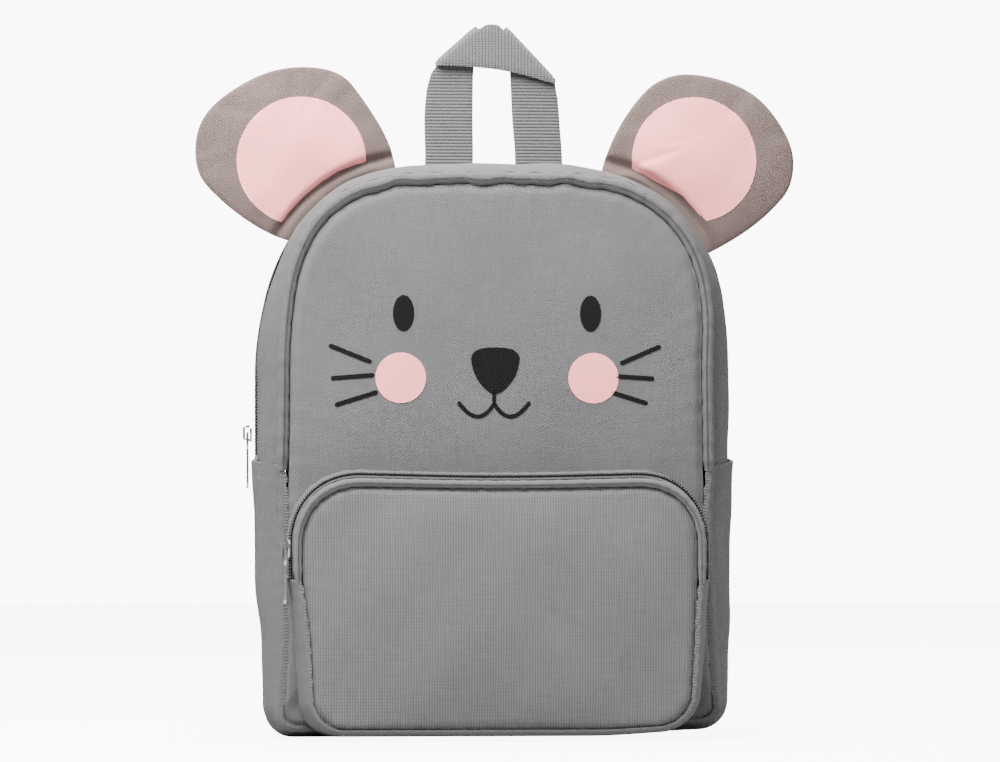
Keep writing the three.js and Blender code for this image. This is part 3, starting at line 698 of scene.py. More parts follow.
STRIP_PILLOW = 3.4 * MM
STRIP_VALLEY = 0.8 * MM
STRIP_CREASE = 0.8 * MM
STRIP_SUNK = 1.3 * MM
STRIP_WAVE = 0.5 * MM
STRIP_LAP = 1.5 * MM
HEM_INSET = 5.5 * MM
HEM_DIP = 0.4 * MM
EDGE_TURN = 0.8 * MM


def gusset_strip(name, side, node):
    """The pillowy strip between the edge roll and the zip, with its turned and stitched edge."""
    stations, along = top_run(CREST, STRIP_STEP, 3.0)
    length = along[-1]
    share = np.linspace(0, 1, 34)[None, :]
    y = side * lerp(GUSSET_EDGE + STRIP_LAP, ZIP_SLOT_HALF, share)
    pucker = ripple(along, length, (29, 47, 71), 1.1 + side)[:, None]
    slow = ripple(along, length, (5, 9, 13), 0.4 * side)[:, None]
    width = GUSSET_EDGE - ZIP_SLOT_HALF
    from_roll = share * width
    from_zip = (1 - share) * width
    _, height = loop_point(CREST, stations)
    over_top = smooth(250 * MM, 278 * MM, height)[:, None]
    rising = 1 - np.exp(-from_roll / (2.4 * MM)) * (1 - over_top)
    pillow = STRIP_PILLOW * rising * np.exp(-((from_roll / (15 * MM)) ** 2))
    valley = STRIP_VALLEY * np.exp(-from_roll / (2 * MM)) * (1 - over_top)
    crease = STRIP_CREASE * pucker * np.exp(-from_roll / (5 * MM)) * (1 - 0.5 * over_top) - valley
    sunk = STRIP_SUNK * smooth(4 * MM, 16 * MM, from_roll)
    hem = HEM_DIP * np.exp(-(((from_zip - HEM_INSET) / (1 * MM)) ** 2))
    turned = EDGE_TURN * np.exp(-((from_zip / (1.1 * MM)) ** 2))
    lift = pillow + crease + STRIP_WAVE * (slow - 1) * np.sin(np.pi * share) - hem - turned - sunk
    return laid_cloth(name, crest_surface, stations, y, lift, CLOTH_WALL, node)


PATCH_REACH = PANEL_DEPTH - 1.4 * MM
SEAM_SLOT = 0.9 * MM
BOTTOM_WALL = 1 * MM
PATCH_SWELL = 2.6 * MM
PATCH_CREASE = 0.55 * MM
PATCH_WAVE = 0.6 * MM
PATCH_FLAP = 1.1 * MM
ROLL_COVER = 2.2 * MM
PATCH_RISE = 6 * MM


def patch_surface(station, y, lift):
    """The side patch's surface, which turns in from the gusset to the seam past the edge of the gusset."""
    past = np.clip((np.abs(y) - GUSSET_EDGE) / (PATCH_REACH - GUSSET_EDGE), 0, 1)
    over = (ROLL_OFFSET - SEAM_SLOT) * (1 - np.sqrt(1 - past**2))
    return crest_surface(station, np.clip(y, -GUSSET_EDGE, GUSSET_EDGE), lift - over)


def gusset_base():
    """The side patches and the flat bottom, in one U of cloth that laps over the strips above."""
    stations, along = base_run(CREST, STRIP_STEP)
    length = along[-1]
    bend = np.sin(np.linspace(-1, 1, 81) * np.pi / 2)[None, :]
    y = PATCH_REACH * bend
    depth = np.abs(y)
    pucker = ripple(along, length, (53, 83, 127), 0.7)[:, None]
    slow = ripple(along, length, (7, 11, 17), 2.2)[:, None]
    from_seam = PATCH_REACH - depth
    on_side = np.clip((np.abs(stations) - 1) / 1.2, 0, 1)[:, None]
    middle = np.cos(y / PATCH_REACH * np.pi / 2)
    swell = PATCH_SWELL * np.sin(np.pi * (depth / PATCH_REACH) ** 2.2)
    crease = PATCH_CREASE * pucker * np.exp(-from_seam / (7 * MM))
    top_share = np.clip(np.abs(stations) - 2, 0, 1)[:, None]
    flap = PATCH_FLAP * top_share**8
    flap = flap + ROLL_COVER * top_share**5 * np.exp(-(((depth - ROLL_DEPTH) / (4 * MM)) ** 2))
    lift = (swell + crease + PATCH_WAVE * (slow - 2.6) * middle + flap) * on_side
    wall = lerp(BOTTOM_WALL, CLOTH_WALL, on_side)
    rise = PATCH_RISE * (1 - depth / PATCH_REACH) * top_share**3
    name = "side_patches_and_bottom"
    return laid_cloth(name, patch_surface, stations, y, lift, wall, "gusset_base", rise=rise)


front_cloth = front_panel()
back_panel()
edge_roll("front_edge_roll", -1, "front_edge_roll")
edge_roll("back_edge_roll", 1, "back_edge_roll")
gusset_strip("front_gusset_strip", -1, "gusset_front_strip")
gusset_strip("back_gusset_strip", 1, "gusset_back_strip")
gusset_base()


# Front pocket

POCKET_SAG = 1.6 * MM
POCKET_SWELL = 0.8 * MM
POCKET_SWELL_SPAN = 48 * MM
POCKET_SEAM_DIP = 2 * MM
POCKET_SEAM_CREASE = 0.25 * MM
POCKET_CREASE = 0.5 * MM
POCKET_ROLL_PUCKER = 0.18 * MM
POCKET_FLAP = 1.3 * MM
POCKET_RISE = 3 * MM
POCKET_WALL = 1.6 * MM
POCKET_BOTTOM_WALL = 0.6 * MM


def pocket_surface(station, y, lift=0.0):
    """A point of the pocket's gusset at a station and depth, lifted off it. It flares towards the bag."""
    share = np.clip((POCKET_ROLL_DEPTH + y) / (POCKET_ROLL_DEPTH - PANEL_DEPTH), 0, 1) ** 0.6
    return loop_point(grown(blended(POCKET_ROLL_LOOP, POCKET_BACK_LOOP, share), lift), station)


def pocket_sag(x, z):
    """The pocket's mouth sags in its middle between the two ends of its zip."""
    high_up = np.clip((z - 100 * MM) / (30 * MM), 0, 1) ** 2
    return POCKET_SAG * high_up * np.cos(np.clip(x / (100 * MM), -1, 1) * np.pi / 2) ** 2


def pocket_face():
    stations, along, length = whole_loop(POCKET_SEAM, POCKET_STEP)
    x, z, edge = panel_grid(POCKET_SEAM, stations, rim_shares(60))
    pucker = ripple(along, length, (47, 71, 109), 0.5)[:, None]
    fade = np.minimum(1, edge / (18 * MM))
    swell = POCKET_SWELL * soft_waves(x, z, POCKET_SWELL_SPAN, 2.1) * fade
    near = np.exp(-((edge / (2.4 * MM)) ** 2))
    crease = np.exp(-edge / (6 * MM)) * pucker
    depth = POCKET_FACE_DEPTH + dome(POCKET_SEAM, POCKET_DOME, x, z) + swell
    depth = depth - POCKET_SEAM_DIP * near + POCKET_SEAM_CREASE * crease
    height = z - pocket_sag(x, z)
    outer = points(x, -depth, height)
    inner = points(x, -depth + PANEL_WALL, height)
    piece = disc_piece("pocket_face_cloth", outer, inner, pocket_cloth)
    return stand_for(piece, "grey_cloth", "pocket_face")


def pocket_roll():
    """The cloth rolled over the pocket's seam allowance, above the two ends of its zip."""
    stations, along = top_run(POCKET_ROLL_LOOP, POCKET_ROLL_STEP, 2.97)
    length = along[-1]
    pucker = ripple(along, length, (31, 47, 73), 0.3)[:, None]
    radius = (POCKET_ROLL_RADIUS + POCKET_ROLL_PUCKER * pucker) * tapered(along, length, 7 * MM, 0.7)
    x, y, z = roll_rings(POCKET_ROLL_LOOP, stations, POCKET_ROLL_RADIUS, radius, POCKET_ROLL_DEPTH, 0.95, -1)
    grid = points(x, y, z - pocket_sag(x, z))
    return tube_piece("pocket_edge_roll_cloth", grid, grey_cloth, "pocket_edge_roll")


POCKET_REACH = POCKET_FACE_DEPTH - 0.4 * MM


def pocket_patch_surface(station, y, lift):
    past = np.clip((-y - POCKET_GUSSET_FRONT) / (POCKET_REACH - POCKET_GUSSET_FRONT), 0, 1)
    over = POCKET_ROLL_OFFSET * (1 - np.sqrt(1 - past**2))
    return pocket_surface(station, np.maximum(y, -POCKET_GUSSET_FRONT), lift - over)


def pocket_base():
    """The pocket's lower sides and bottom, which lap over the ends of its zip."""
    stations, along = base_run(POCKET_BACK_LOOP, POCKET_STEP)
    length = along[-1]
    share = np.sin(np.linspace(0, 1, 34) * np.pi / 2)[None, :]
    y = -lerp(PANEL_DEPTH + 0.2 * MM, POCKET_REACH, share)
    pucker = ripple(along, length, (43, 67, 101), 1.9)[:, None]
    from_seam = POCKET_REACH + y
    on_side = np.clip((np.abs(stations) - 1) / 1.2, 0, 1)[:, None]
    top_share = np.clip(np.abs(stations) - 2, 0, 1)[:, None]
    swell = POCKET_SWELL * np.sin(np.pi * share)
    crease = POCKET_CREASE * pucker * np.exp(-from_seam / (6 * MM))
    flap = POCKET_FLAP * top_share**8
    lift = (swell + crease + flap) * on_side
    wall = lerp(POCKET_BOTTOM_WALL, POCKET_WALL, on_side)
    rise = POCKET_RISE * (1 - share) * top_share**3
    name = "pocket_lower_gusset"
    return laid_cloth(name, pocket_patch_surface, stations, y, lift, wall, "pocket_gusset_base", rise=rise)


def pocket_back_strip():
    """The strip of cloth between the pocket's zip and the bag, over its top."""
    stations, along = top_run(POCKET_BACK_LOOP, POCKET_STEP, 3.0)
    length = along[-1]
    share = np.linspace(0, 1, 20)[None, :]
    front = POCKET_COIL_DEPTH - COIL_HALF - GAP - POCKET_TAPE - GAP
    y = -lerp(front, PANEL_DEPTH + 0.8 * MM, share)
    pucker = ripple(along, length, (29, 43, 67), 0.9)[:, None]
    width = front - PANEL_DEPTH
    swell = -0.5 * MM * (1 - share)
    crease = POCKET_CREASE * pucker * np.exp(-(1 - share) * width / (4 * MM))
    turned = EDGE_TURN * np.exp(-((share * width / (1 * MM)) ** 2))
    lift = swell + crease - turned
    name, node = "pocket_back_strip", "pocket_gusset_back"
    return laid_cloth(name, pocket_surface, stations, y, lift, POCKET_WALL, node, sag=pocket_sag)


pocket_face()
pocket_roll()
pocket_base()
pocket_back_strip()


# Zips: tapes and teeth

TOOTH_PITCH = 1.55 * MM
TOOTH_LENGTH = 2.7 * MM
TOOTH_WIDTH = 1.15 * MM
TOOTH_HEIGHT = 2 * MM
TOOTH_ASIDE = 0.85 * MM
TOOTH_TILT = 0.12
MAIN_TOOTH_LIFT = -0.9 * MM
POCKET_TOOTH_LIFT = 1.0 * MM


def bead(sides, rings, squareness=0.75):
    """A rounded bar one unit long and one thick: its points, faces and their order, along its first axis."""
    heights = np.cos(np.linspace(0, np.pi, rings + 2))[1:-1]
    turns = np.linspace(0, 2 * np.pi, sides, endpoint=False)
    radius = (1 - np.abs(heights) ** (1 / (1 - squareness))) ** 0.5
    x = np.repeat(heights, sides)
    y = np.outer(radius, np.cos(turns)).ravel()
    z = np.outer(radius, np.sin(turns)).ravel()
    vertices = np.concatenate([points(x, y, z), [[1, 0, 0], [-1, 0, 0]]]) * 0.5
    faces = []
    for ring in range(rings - 1):
        for side in range(sides):
            here = ring * sides + side
            following = ring * sides + (side + 1) % sides
            faces.append([here, here + sides, following + sides, following])
    last = (rings - 1) * sides
    for side in range(sides):
        following = (side + 1) % sides
        faces.append([rings * sides, side, following])
        faces.append([rings * sides + 1, last + following, last + side])
    return vertices, faces


def repeated(name, shape, places, first, second, third, material):
    """One mesh of a shape set at every place, with its three axes along the three given vectors."""
    vertices, faces = shape
    turned = (
        vertices[None, :, 0, None] * first[:, None, :]
        + vertices[None, :, 1, None] * second[:, None, :]
        + vertices[None, :, 2, None] * third[:, None, :]
    )
    everything = (turned + places[:, None, :]).reshape(-1, 3)
    count = len(vertices)
    every_face = []
    for number in range(len(places)):
        every_face += [[index + number * count for index in face] for face in faces]
    uv = everything[:, [0, 2]] + everything[:, [1, 1]]
    piece = make_piece(name, everything, every_face, uv, material, sharp=70)
    return piece


def unit(vectors):
    return vectors / np.linalg.norm(vectors, axis=-1, keepdims=True)


def zip_run(surface, loop, first, spacing, y, lift):
    """Places along a zip, with the ways along it, across it and out of it."""
    stations, _ = top_run(loop, spacing, first)
    x, z = surface(stations, y, lift)
    out_x, out_z = surface(stations, y, lift + 1 * MM)
    place = points(x, y, z)
    out = unit(points(out_x - x, 0 * x, out_z - z))
    across = points(0 * x, 1 + 0 * x, 0 * x)
    return place, np.cross(across, out), across, out


def teeth(name, node, surface, loop, first, y, lift, sag=None):
    """Two rows of moulded teeth that meet over the middle of the zip."""
    place, along, across, out = zip_run(surface, loop, first, TOOTH_PITCH / 2, y, lift)
    side = np.where(np.arange(len(place)) % 2, 1, -1)[:, None]
    place = place + across * side * TOOTH_ASIDE
    if sag is not None:
        place[:, 2] -= sag(place[:, 0], place[:, 2])
    tilt = unit(across + along * side * TOOTH_TILT)
    piece = repeated(name, bead(8, 5), place, tilt * TOOTH_LENGTH, along * TOOTH_WIDTH, out * TOOTH_HEIGHT,
                     coil_plastic)
    return stand_for(piece, "zip_coil", node)


RIBBON_STEP = 2.5 * MM
TAPE_PARTING = 0.3 * MM
TAPE_LIFT = -1.4 * MM
TAPE_WALL = 0.8 * MM
POCKET_TAPE_PARTING = 0.2 * MM
POCKET_TAPE_LIFT = -1.2 * MM
POCKET_TAPE_WALL = 0.7 * MM


def ribbon(name, surface, loop, y_near, y_far, lift, wall, node, sag=None):
    """A thin strip that lies on a surface along a run of its loop, between two depths."""
    stations, _ = top_run(loop, RIBBON_STEP, 3.0)
    y = lerp(y_near, y_far, np.linspace(0, 1, 6))[None, :]
    return laid_cloth(name, surface, stations, y, lift, wall, node, tape_cloth, "zip_tape", sag=sag)


def main_zip():
    edge = ZIP_SLOT_HALF + 1.5 * MM
    for side, name in ((-1, "main_zip_tape_front"), (1, "main_zip_tape_back")):
        ribbon(name + "_cloth", crest_surface, CREST, side * TAPE_PARTING, side * edge, TAPE_LIFT, TAPE_WALL,
               name)
    teeth("main_zip_teeth", "main_zip_coil", crest_surface, CREST, 3.01, 0.0, MAIN_TOOTH_LIFT)


def pocket_zip():
    front = -(POCKET_GUSSET_FRONT + 1 * MM)
    middle = -POCKET_COIL_DEPTH
    back = -(POCKET_COIL_DEPTH - COIL_HALF - GAP - POCKET_TAPE - 1.5 * MM)
    for name, near, far in (
        ("pocket_zip_tape_front", front, middle - POCKET_TAPE_PARTING),
        ("pocket_zip_tape_back", middle + POCKET_TAPE_PARTING, back),
    ):
        ribbon(name + "_cloth", pocket_surface, POCKET_BACK_LOOP, near, far, POCKET_TAPE_LIFT,
               POCKET_TAPE_WALL, name, pocket_sag)
    teeth("pocket_zip_teeth", "pocket_zip_coil", pocket_surface, POCKET_BACK_LOOP, 3.01, middle,
          POCKET_TOOTH_LIFT, pocket_sag)


main_zip()
pocket_zip()


# Ears: two round leaves of cloth, sewn together at the rim, stuffed and sewn down on the crest.
# The left one is side -1 and the right one side 1, and they stand a little differently.

# What differs between the two ears is kept by side: where the foot starts and ends in x, and so on
EAR_FEET = {-1: (48.1 * MM, 102.1 * MM), 1: (52.1 * MM, 105.9 * MM)}
EAR_TUCK = 3.4 * MM
EAR_LENGTHS = {-1: 83 * MM, 1: 84.4 * MM}
EAR_WIDESTS = {-1: 48.4 * MM, 1: 52 * MM}
EAR_HALF_WIDTHS = {-1: 46.4 * MM, 1: 45.2 * MM}
EAR_LEANS = {-1: 0.14, 1: 0.076}
EAR_SEAM_Y = -14 * MM
EAR_CUP = 3 * MM
EAR_HALF_WALL = 3.2 * MM
STUFFING_PRESSURE = 4.0
STUFFING_FRAMES = 20
EAR_SWELL_LIMIT = 5 * MM
EAR_RIM_POINTS = 75
EAR_FOOT_POINTS = 21
PINCH_HEIGHT = 5.6 * MM
PINCH_DEPTH = 1.5 * MM
BAND_HEIGHT = 4 * MM


def arch_angle(loop, x):
    share = (x - loop["crown_half"]) / (loop["mid_half"] - loop["crown_half"])
    return math.acos(share ** (loop["power"] / 2))


def arch_point(loop, angle):
    reach = loop["mid_half"] - loop["crown_half"]
    rise = loop["top"] - loop["spring"]
    x = loop["crown_half"] + reach * np.cos(angle) ** (2 / loop["power"])
    return np.stack([x, loop["spring"] + rise * np.sin(angle) ** (2 / loop["power"])], axis=-1)


def even_line(line, count):
    """Points spaced evenly along a line of points."""
    steps = np.concatenate([[0], np.cumsum(np.linalg.norm(np.diff(line, axis=0), axis=1))])
    places = np.linspace(0, steps[-1], count)
    return np.stack([np.interp(places, steps, line[:, k]) for k in range(line.shape[1])], axis=-1)


def ear_lines(side):
    """The ear's rim, the foot that follows the crest, and its middle, in x and z."""
    foot_loop = grown(CREST, -EAR_TUCK)
    inner_angle, outer_angle = (arch_angle(foot_loop, x) for x in EAR_FEET[side])
    inner = arch_point(foot_loop, inner_angle)
    outer = arch_point(foot_loop, outer_angle)
    chord = outer - inner
    foot_half = np.linalg.norm(chord) / 2
    along = unit(chord)
    upright = np.array([-along[1], along[0]])
    middle = (inner + outer) / 2
    widest = EAR_WIDESTS[side]
    half_width = EAR_HALF_WIDTHS[side]
    upper = EAR_LENGTHS[side] - widest
    lower = widest / math.sqrt(1 - (foot_half / half_width) ** 2)
    turn = math.acos(-widest / lower)
    angle = np.linspace(-turn, turn, 400)
    uneven = 1 + 0.012 * np.sin(4 * angle + 0.6 + side) + 0.007 * np.sin(7 * angle + 2.0 * side)
    height = widest + np.where(np.cos(angle) < 0, lower, upper * uneven) * np.cos(angle)
    across = half_width * uneven * np.sin(angle) + EAR_LEANS[side] * height
    rim = middle + across[:, None] * along + height[:, None] * upright
    foot = arch_point(foot_loop, np.linspace(outer_angle, inner_angle, 100))
    centre = middle + widest * upright
    mirror = np.array([side, 1])
    return rim * mirror, foot * mirror, centre * mirror


def from_foot(foot, x, z):
    """How far points are from the ear's foot."""
    flat = np.stack([x, z], axis=-1)
    away = flat[..., None, :] - foot[::4]
    return np.linalg.norm(away, axis=-1).min(axis=-1)


def ear_cushion(side):
    """The two leaves before they are stuffed, as one closed mesh of columns from the middle to the rim."""
    rim, foot, centre = ear_lines(side)
    free = even_line(rim, EAR_RIM_POINTS + 1)[:-1]
    sewn = even_line(foot, EAR_FOOT_POINTS + 1)[:-1]
    edge = np.concatenate([free, sewn])
    shares = np.linspace(0, 1, 14) ** 0.9
    flat = centre + (edge - centre)[:, None, :] * shares[None, :, None]
    wall = EAR_HALF_WALL * np.sqrt(1 - shares[None, :] ** 2) + 0.2 * MM
    bowl = EAR_SEAM_Y - EAR_CUP * shares[None, :] ** 2
    front = points(flat[..., 0], bowl - wall, flat[..., 1])
    back = points(flat[..., 0], bowl + wall, flat[..., 1])
    return front, back, foot


def stuffing(piece, held, limit):
    """Cloth is inflated, no point moves further than the limit, and held points stay where they are."""
    scene = bpy.context.scene
    rest = np.empty(len(piece.data.vertices) * 3)
    piece.data.vertices.foreach_get("co", rest)
    rest = rest.reshape(-1, 3)
    group = piece.vertex_groups.new(name="held")
    group.add(np.flatnonzero(held).tolist(), 1.0, "REPLACE")
    cloth = piece.modifiers.new("stuffing", "CLOTH")
    cloth.settings.use_pressure = True
    cloth.settings.uniform_pressure_force = STUFFING_PRESSURE
    cloth.settings.effector_weights.gravity = 0
    cloth.settings.vertex_group_mass = "held"
    cloth.settings.tension_stiffness = 8
    cloth.settings.compression_stiffness = 8
    cloth.settings.bending_stiffness = 0.6
    cloth.settings.quality = 4
    cloth.point_cache.frame_end = STUFFING_FRAMES
    for number in range(1, STUFFING_FRAMES + 1):
        scene.frame_set(number)
    swollen = piece.evaluated_get(bpy.context.evaluated_depsgraph_get())
    moved = np.empty(len(rest) * 3)
    swollen.data.vertices.foreach_get("co", moved)
    step = moved.reshape(-1, 3) - rest
    piece.modifiers.remove(cloth)
    scene.frame_set(1)
    length = np.linalg.norm(step, axis=1, keepdims=True)
    capped = step * np.minimum(1, limit / np.maximum(length, 1e-9))
    return rest + capped


def smoothed(piece, material):
    """One subdivision, put into the mesh itself."""
    finer = piece.modifiers.new("finer", "SUBSURF")
    finer.levels = 1
    evaluated = piece.evaluated_get(bpy.context.evaluated_depsgraph_get())
    mesh = bpy.data.meshes.new_from_object(evaluated)
    piece.modifiers.remove(finer)
    piece.data = mesh
    mesh.materials.clear()
    mesh.materials.append(material)
    mesh.shade_smooth()


def shaped(piece, move):
    """Moves a mesh's points by a function of their places, and lays the weave flat over it."""
    mesh = piece.data
    places = np.empty(len(mesh.vertices) * 3)
    mesh.vertices.foreach_get("co", places)
    places = move(places.reshape(-1, 3))
    mesh.vertices.foreach_set("co", places.ravel())
    for layer in list(mesh.uv_layers):
        mesh.uv_layers.remove(layer)
    set_uv(mesh, places[:, [0, 2]])
    mesh.update()


def ear(name, side, node):
    front, back, foot = ear_cushion(side)
    columns, rows = front.shape[:2]
    count = columns * (rows - 1)
    vertices = np.concatenate([front[:, 1:].reshape(-1, 3), back[:, 1:-1].reshape(-1, 3),
                               [front[0, 0], back[0, 0]]])
    faces = grid_faces(columns, rows - 1, True)
    behind = rows - 2
    middle = count + columns * behind
    for i in range(columns):
        after = (i + 1) % columns
        near, far = count + i * behind, count + after * behind
        for j in range(behind - 1):
            faces.append([near + j, near + j + 1, far + j + 1, far + j])
        rim_near, rim_far = i * (rows - 1) + rows - 2, after * (rows - 1) + rows - 2
        faces.append([near + behind - 1, rim_near, rim_far, far + behind - 1])
        faces.append([middle, after * (rows - 1), i * (rows - 1)])
        faces.append([middle + 1, near, far])
    piece = make_piece(name, vertices, faces, vertices[:, [0, 2]], ear_cloth)
    face_out(piece)
    rim_rows = np.zeros((columns, rows - 1), dtype=bool)
    rim_rows[EAR_RIM_POINTS:, -1] = True
    held = np.concatenate([rim_rows.ravel(), np.zeros(columns * behind + 2, dtype=bool)])
    swollen = stuffing(piece, held, EAR_SWELL_LIMIT)
    piece.data.vertices.foreach_set("co", swollen.ravel())
    smoothed(piece, ear_cloth)

    def dress(places):
        x, y, z = places.T
        away = from_foot(foot, x, z)
        pinch = np.exp(-(((away - EAR_TUCK - PINCH_HEIGHT) / (2.2 * MM)) ** 2))
        flat = np.clip(1 - away / (EAR_TUCK + BAND_HEIGHT), 0, 1)
        middle_y = EAR_SEAM_Y - EAR_CUP * 0.6
        squeezed = middle_y + (y - middle_y) * (1 - 0.55 * pinch - 0.35 * flat)
        fold = PINCH_DEPTH * pinch + 0.5 * MM * soft_waves(x, z, 21 * MM, 1.0 + side) * (1 - flat)
        return np.stack([x, squeezed + fold, z], axis=-1)

    shaped(piece, dress)
    stand_for(piece, "ear_cloth", node)
    return piece


ear_left = ear("ear_left_cloth", -1, "ear_left")
ear_right = ear("ear_right_cloth", 1, "ear_right")


# Prints, laid on the cloth as thin skins

PRINT_PROUD = 0.25 * MM
PRINT_SUNK = 0.4 * MM
BLACK = linear(12, 10, 9)
PINK = (1.0, 0.34, 0.33, 1.0)
black_print = woven("black print", BLACK, contrast=0.35)
pink_print = woven("pink print", PINK, depth=0.15 * MM, contrast=0.15)


class Cloth:
    """A finished piece that prints are laid on, seen straight from the front or the back."""

    def __init__(self, piece, side=-1):
        mesh = piece.data
        vertices = [vertex.co.copy() for vertex in mesh.vertices]
        faces = [list(polygon.vertices) for polygon in mesh.polygons]
        self.tree = BVHTree.FromPolygons(vertices, faces)
        self.side = side

    def depth(self, x, z):
        """How far back the cloth lies behind each point, and the last known depth where there is none."""
        found = []
        last = 0.0
        for px, pz in zip(np.ravel(x), np.ravel(z)):
            hit = self.tree.ray_cast(Vector((px, self.side, pz)), Vector((0, -self.side, 0)))
            if hit[0] is not None:
                last = hit[0].y
            found.append(last)
        return np.array(found).reshape(np.shape(x))


def print_disc(name, cloth, edge, centre, material, slot, rings=14):
    """A filled print whose edge is given all round its centre."""
    shares = np.linspace(0, 1, rings)
    flat = centre + (edge - centre)[:, None, :] * shares[None, :, None]
    x, z = flat[..., 0], flat[..., 1]
    y = cloth.depth(x, z)
    piece = disc_piece(name, points(x, y - PRINT_PROUD, z), points(x, y + PRINT_SUNK, z), material)
    return stand_for(piece, slot)


def print_line(name, cloth, line, width):
    """A drawn black line of even width with round ends."""
    line = even_line(np.asarray(line), 40)
    ahead = unit(np.gradient(line, axis=0))
    aside = np.stack([-ahead[:, 1], ahead[:, 0]], axis=-1)
    half = width / 2
    steps = np.concatenate([[0], np.cumsum(np.linalg.norm(np.diff(line, axis=0), axis=1))])
    to_end = np.minimum(steps, steps[-1] - steps)
    past = np.clip(1 - to_end / half, 0, 1)
    reach = half * np.sqrt(np.maximum(1 - past**2, 0.02))
    across = np.linspace(-1, 1, 7)
    flat = line[:, None, :] + aside[:, None, :] * (reach[:, None] * across)[..., None]
    x, z = flat[..., 0], flat[..., 1]
    y = cloth.depth(x, z)
    uv = np.stack([x, z], axis=-1)
    outer = points(x, y - PRINT_PROUD, z)
    piece = wall_piece(name, outer, points(x, y + PRINT_SUNK, z), False, black_print, uv)
    return stand_for(piece, "grey_cloth")


def rounded(corners, radius_share, count=160):
    """A smooth closed outline through blunted corners."""
    corners = np.asarray(corners)
    line = []
    for number, corner in enumerate(corners):
        before = corners[number - 1]
        after = corners[(number + 1) % len(corners)]
        start = lerp(corner, before, radius_share)
        end = lerp(corner, after, radius_share)
        for share in np.linspace(0, 1, 24):
            line.append(lerp(lerp(start, corner, share), lerp(corner, end, share), share))
    line.append(line[0])
    return even_line(np.array(line), count + 1)[:-1]


def oval(centre, half_width, half_height, count=96):
    turn = np.linspace(0, 2 * np.pi, count, endpoint=False)
    return np.array(centre) + np.stack([half_width * np.cos(turn), half_height * np.sin(turn)], axis=-1)


EYE = (46.8 * MM, 212.1 * MM)
CHEEK = (48.2 * MM, 179.9 * MM)
FACE_MIDDLE = -1.0 * MM
# The two ends of each whisker, and below the nose and the stem of the mouth, as x and z in millimetres
WHISKERS = (
    ((-84.1, 196.1), (-62.6, 187.5)),
    ((-83.1, 179.5), (-61.3, 181.2)),
    ((-81.0, 166.1), (-59.6, 172.8)),
    ((82.1, 196.0), (61.6, 187.0)),
    ((78.9, 179.6), (59.6, 180.8)),
    ((75.6, 167.1), (57.3, 172.8)),
)


def mouth_half(side):
    """Half of the smile, from the stem's foot round to its outer end."""
    turn = np.linspace(0, 1, 30)
    x = FACE_MIDDLE - 0.6 * MM + side * 17.9 * MM * turn
    z = 167.5 * MM - 7.2 * MM * np.sin(np.pi * turn**0.92) ** 0.85 + 0.6 * MM * turn
    return np.stack([x, z], axis=-1)


NOSE = ((-14.2, 195.1), (12.4, 195.1), (9.5, 179.6), (-0.9, 169.6), (-11.4, 179.6))
NOSE_MIDDLE = (-0.95, 184.6)
STEM = ((-1.6, 173.6), (-1.6, 167.0))
EYE_HALVES = (5.3 * MM, 9.1 * MM)
CHEEK_RADIUS = 12.6 * MM
MOUTH_WIDTH = 2 * MM
WHISKER_WIDTH = 2.3 * MM


def face_print(cloth):
    for side, name in ((-1, "left"), (1, "right")):
        eye = (side * EYE[0], EYE[1])
        cheek = (side * CHEEK[0], CHEEK[1])
        print_disc(f"eye_{name}", cloth, oval(eye, *EYE_HALVES), np.array(eye), black_print, "grey_cloth")
        round_cheek = oval(cheek, CHEEK_RADIUS, CHEEK_RADIUS)
        print_disc(f"cheek_{name}", cloth, round_cheek, np.array(cheek), pink_print, "grey_cloth", rings=22)
        print_line(f"mouth_{name}", cloth, mouth_half(side), MOUTH_WIDTH)
    nose = rounded(np.array(NOSE) * MM, 0.46)
    print_disc("nose", cloth, nose, np.array(NOSE_MIDDLE) * MM, black_print, "grey_cloth")
    print_line("mouth_stem", cloth, np.array(STEM) * MM, MOUTH_WIDTH)
    for number, whisker in enumerate(WHISKERS):
        print_line(f"whisker_{number}", cloth, np.array(whisker) * MM, WHISKER_WIDTH)


# Each side's pink disc: its middle, its radius and the curve that cuts it off, in millimetres
EAR_PRINTS = {
    -1: ((97.1, 290.1), 32.6, ((55.0, 292.3), (69.4, 288.8), (78.8, 285.2), (87.8, 279.2), (96.1, 272.3),
                               (104.0, 263.8), (112.0, 252.3))),
    1: ((102.3, 292.0), 31.7, ((60.0, 292.4), (69.7, 288.1), (82.9, 281.0), (96.5, 273.5), (105.2, 263.4),
                               (110.0, 257.7), (116.0, 250.0))),
}


def ear_print(name, side, cloth):
    """The ear's pink disc, cut off along a curve above the foot."""
    middle, radius, cut = EAR_PRINTS[side]
    centre = np.array(middle) * MM
    radius = radius * MM
    cut = np.array(cut) * MM
    middle = centre + np.array([2, 9]) * MM
    edge = []
    for turn in np.linspace(0, 2 * np.pi, 180, endpoint=False):
        way = np.array([math.cos(turn), math.sin(turn)])
        reach = np.linspace(0, 2 * radius, 500)[:, None]
        ray = middle + reach * way
        inside = np.linalg.norm(ray - centre, axis=1) < radius
        above = ray[:, 1] > np.interp(ray[:, 0], cut[:, 0], cut[:, 1])
        stop = np.argmin(inside & above)
        edge.append(ray[stop])
    mirror = np.array([side, 1])
    print_disc(name, cloth, np.array(edge) * mirror, middle * mirror, pink_print, "ear_cloth", rings=44)


face_print(Cloth(front_cloth))
ear_print("ear_print_left", -1, Cloth(ear_left))
ear_print("ear_print_right", 1, Cloth(ear_right))


# Webbing and straps


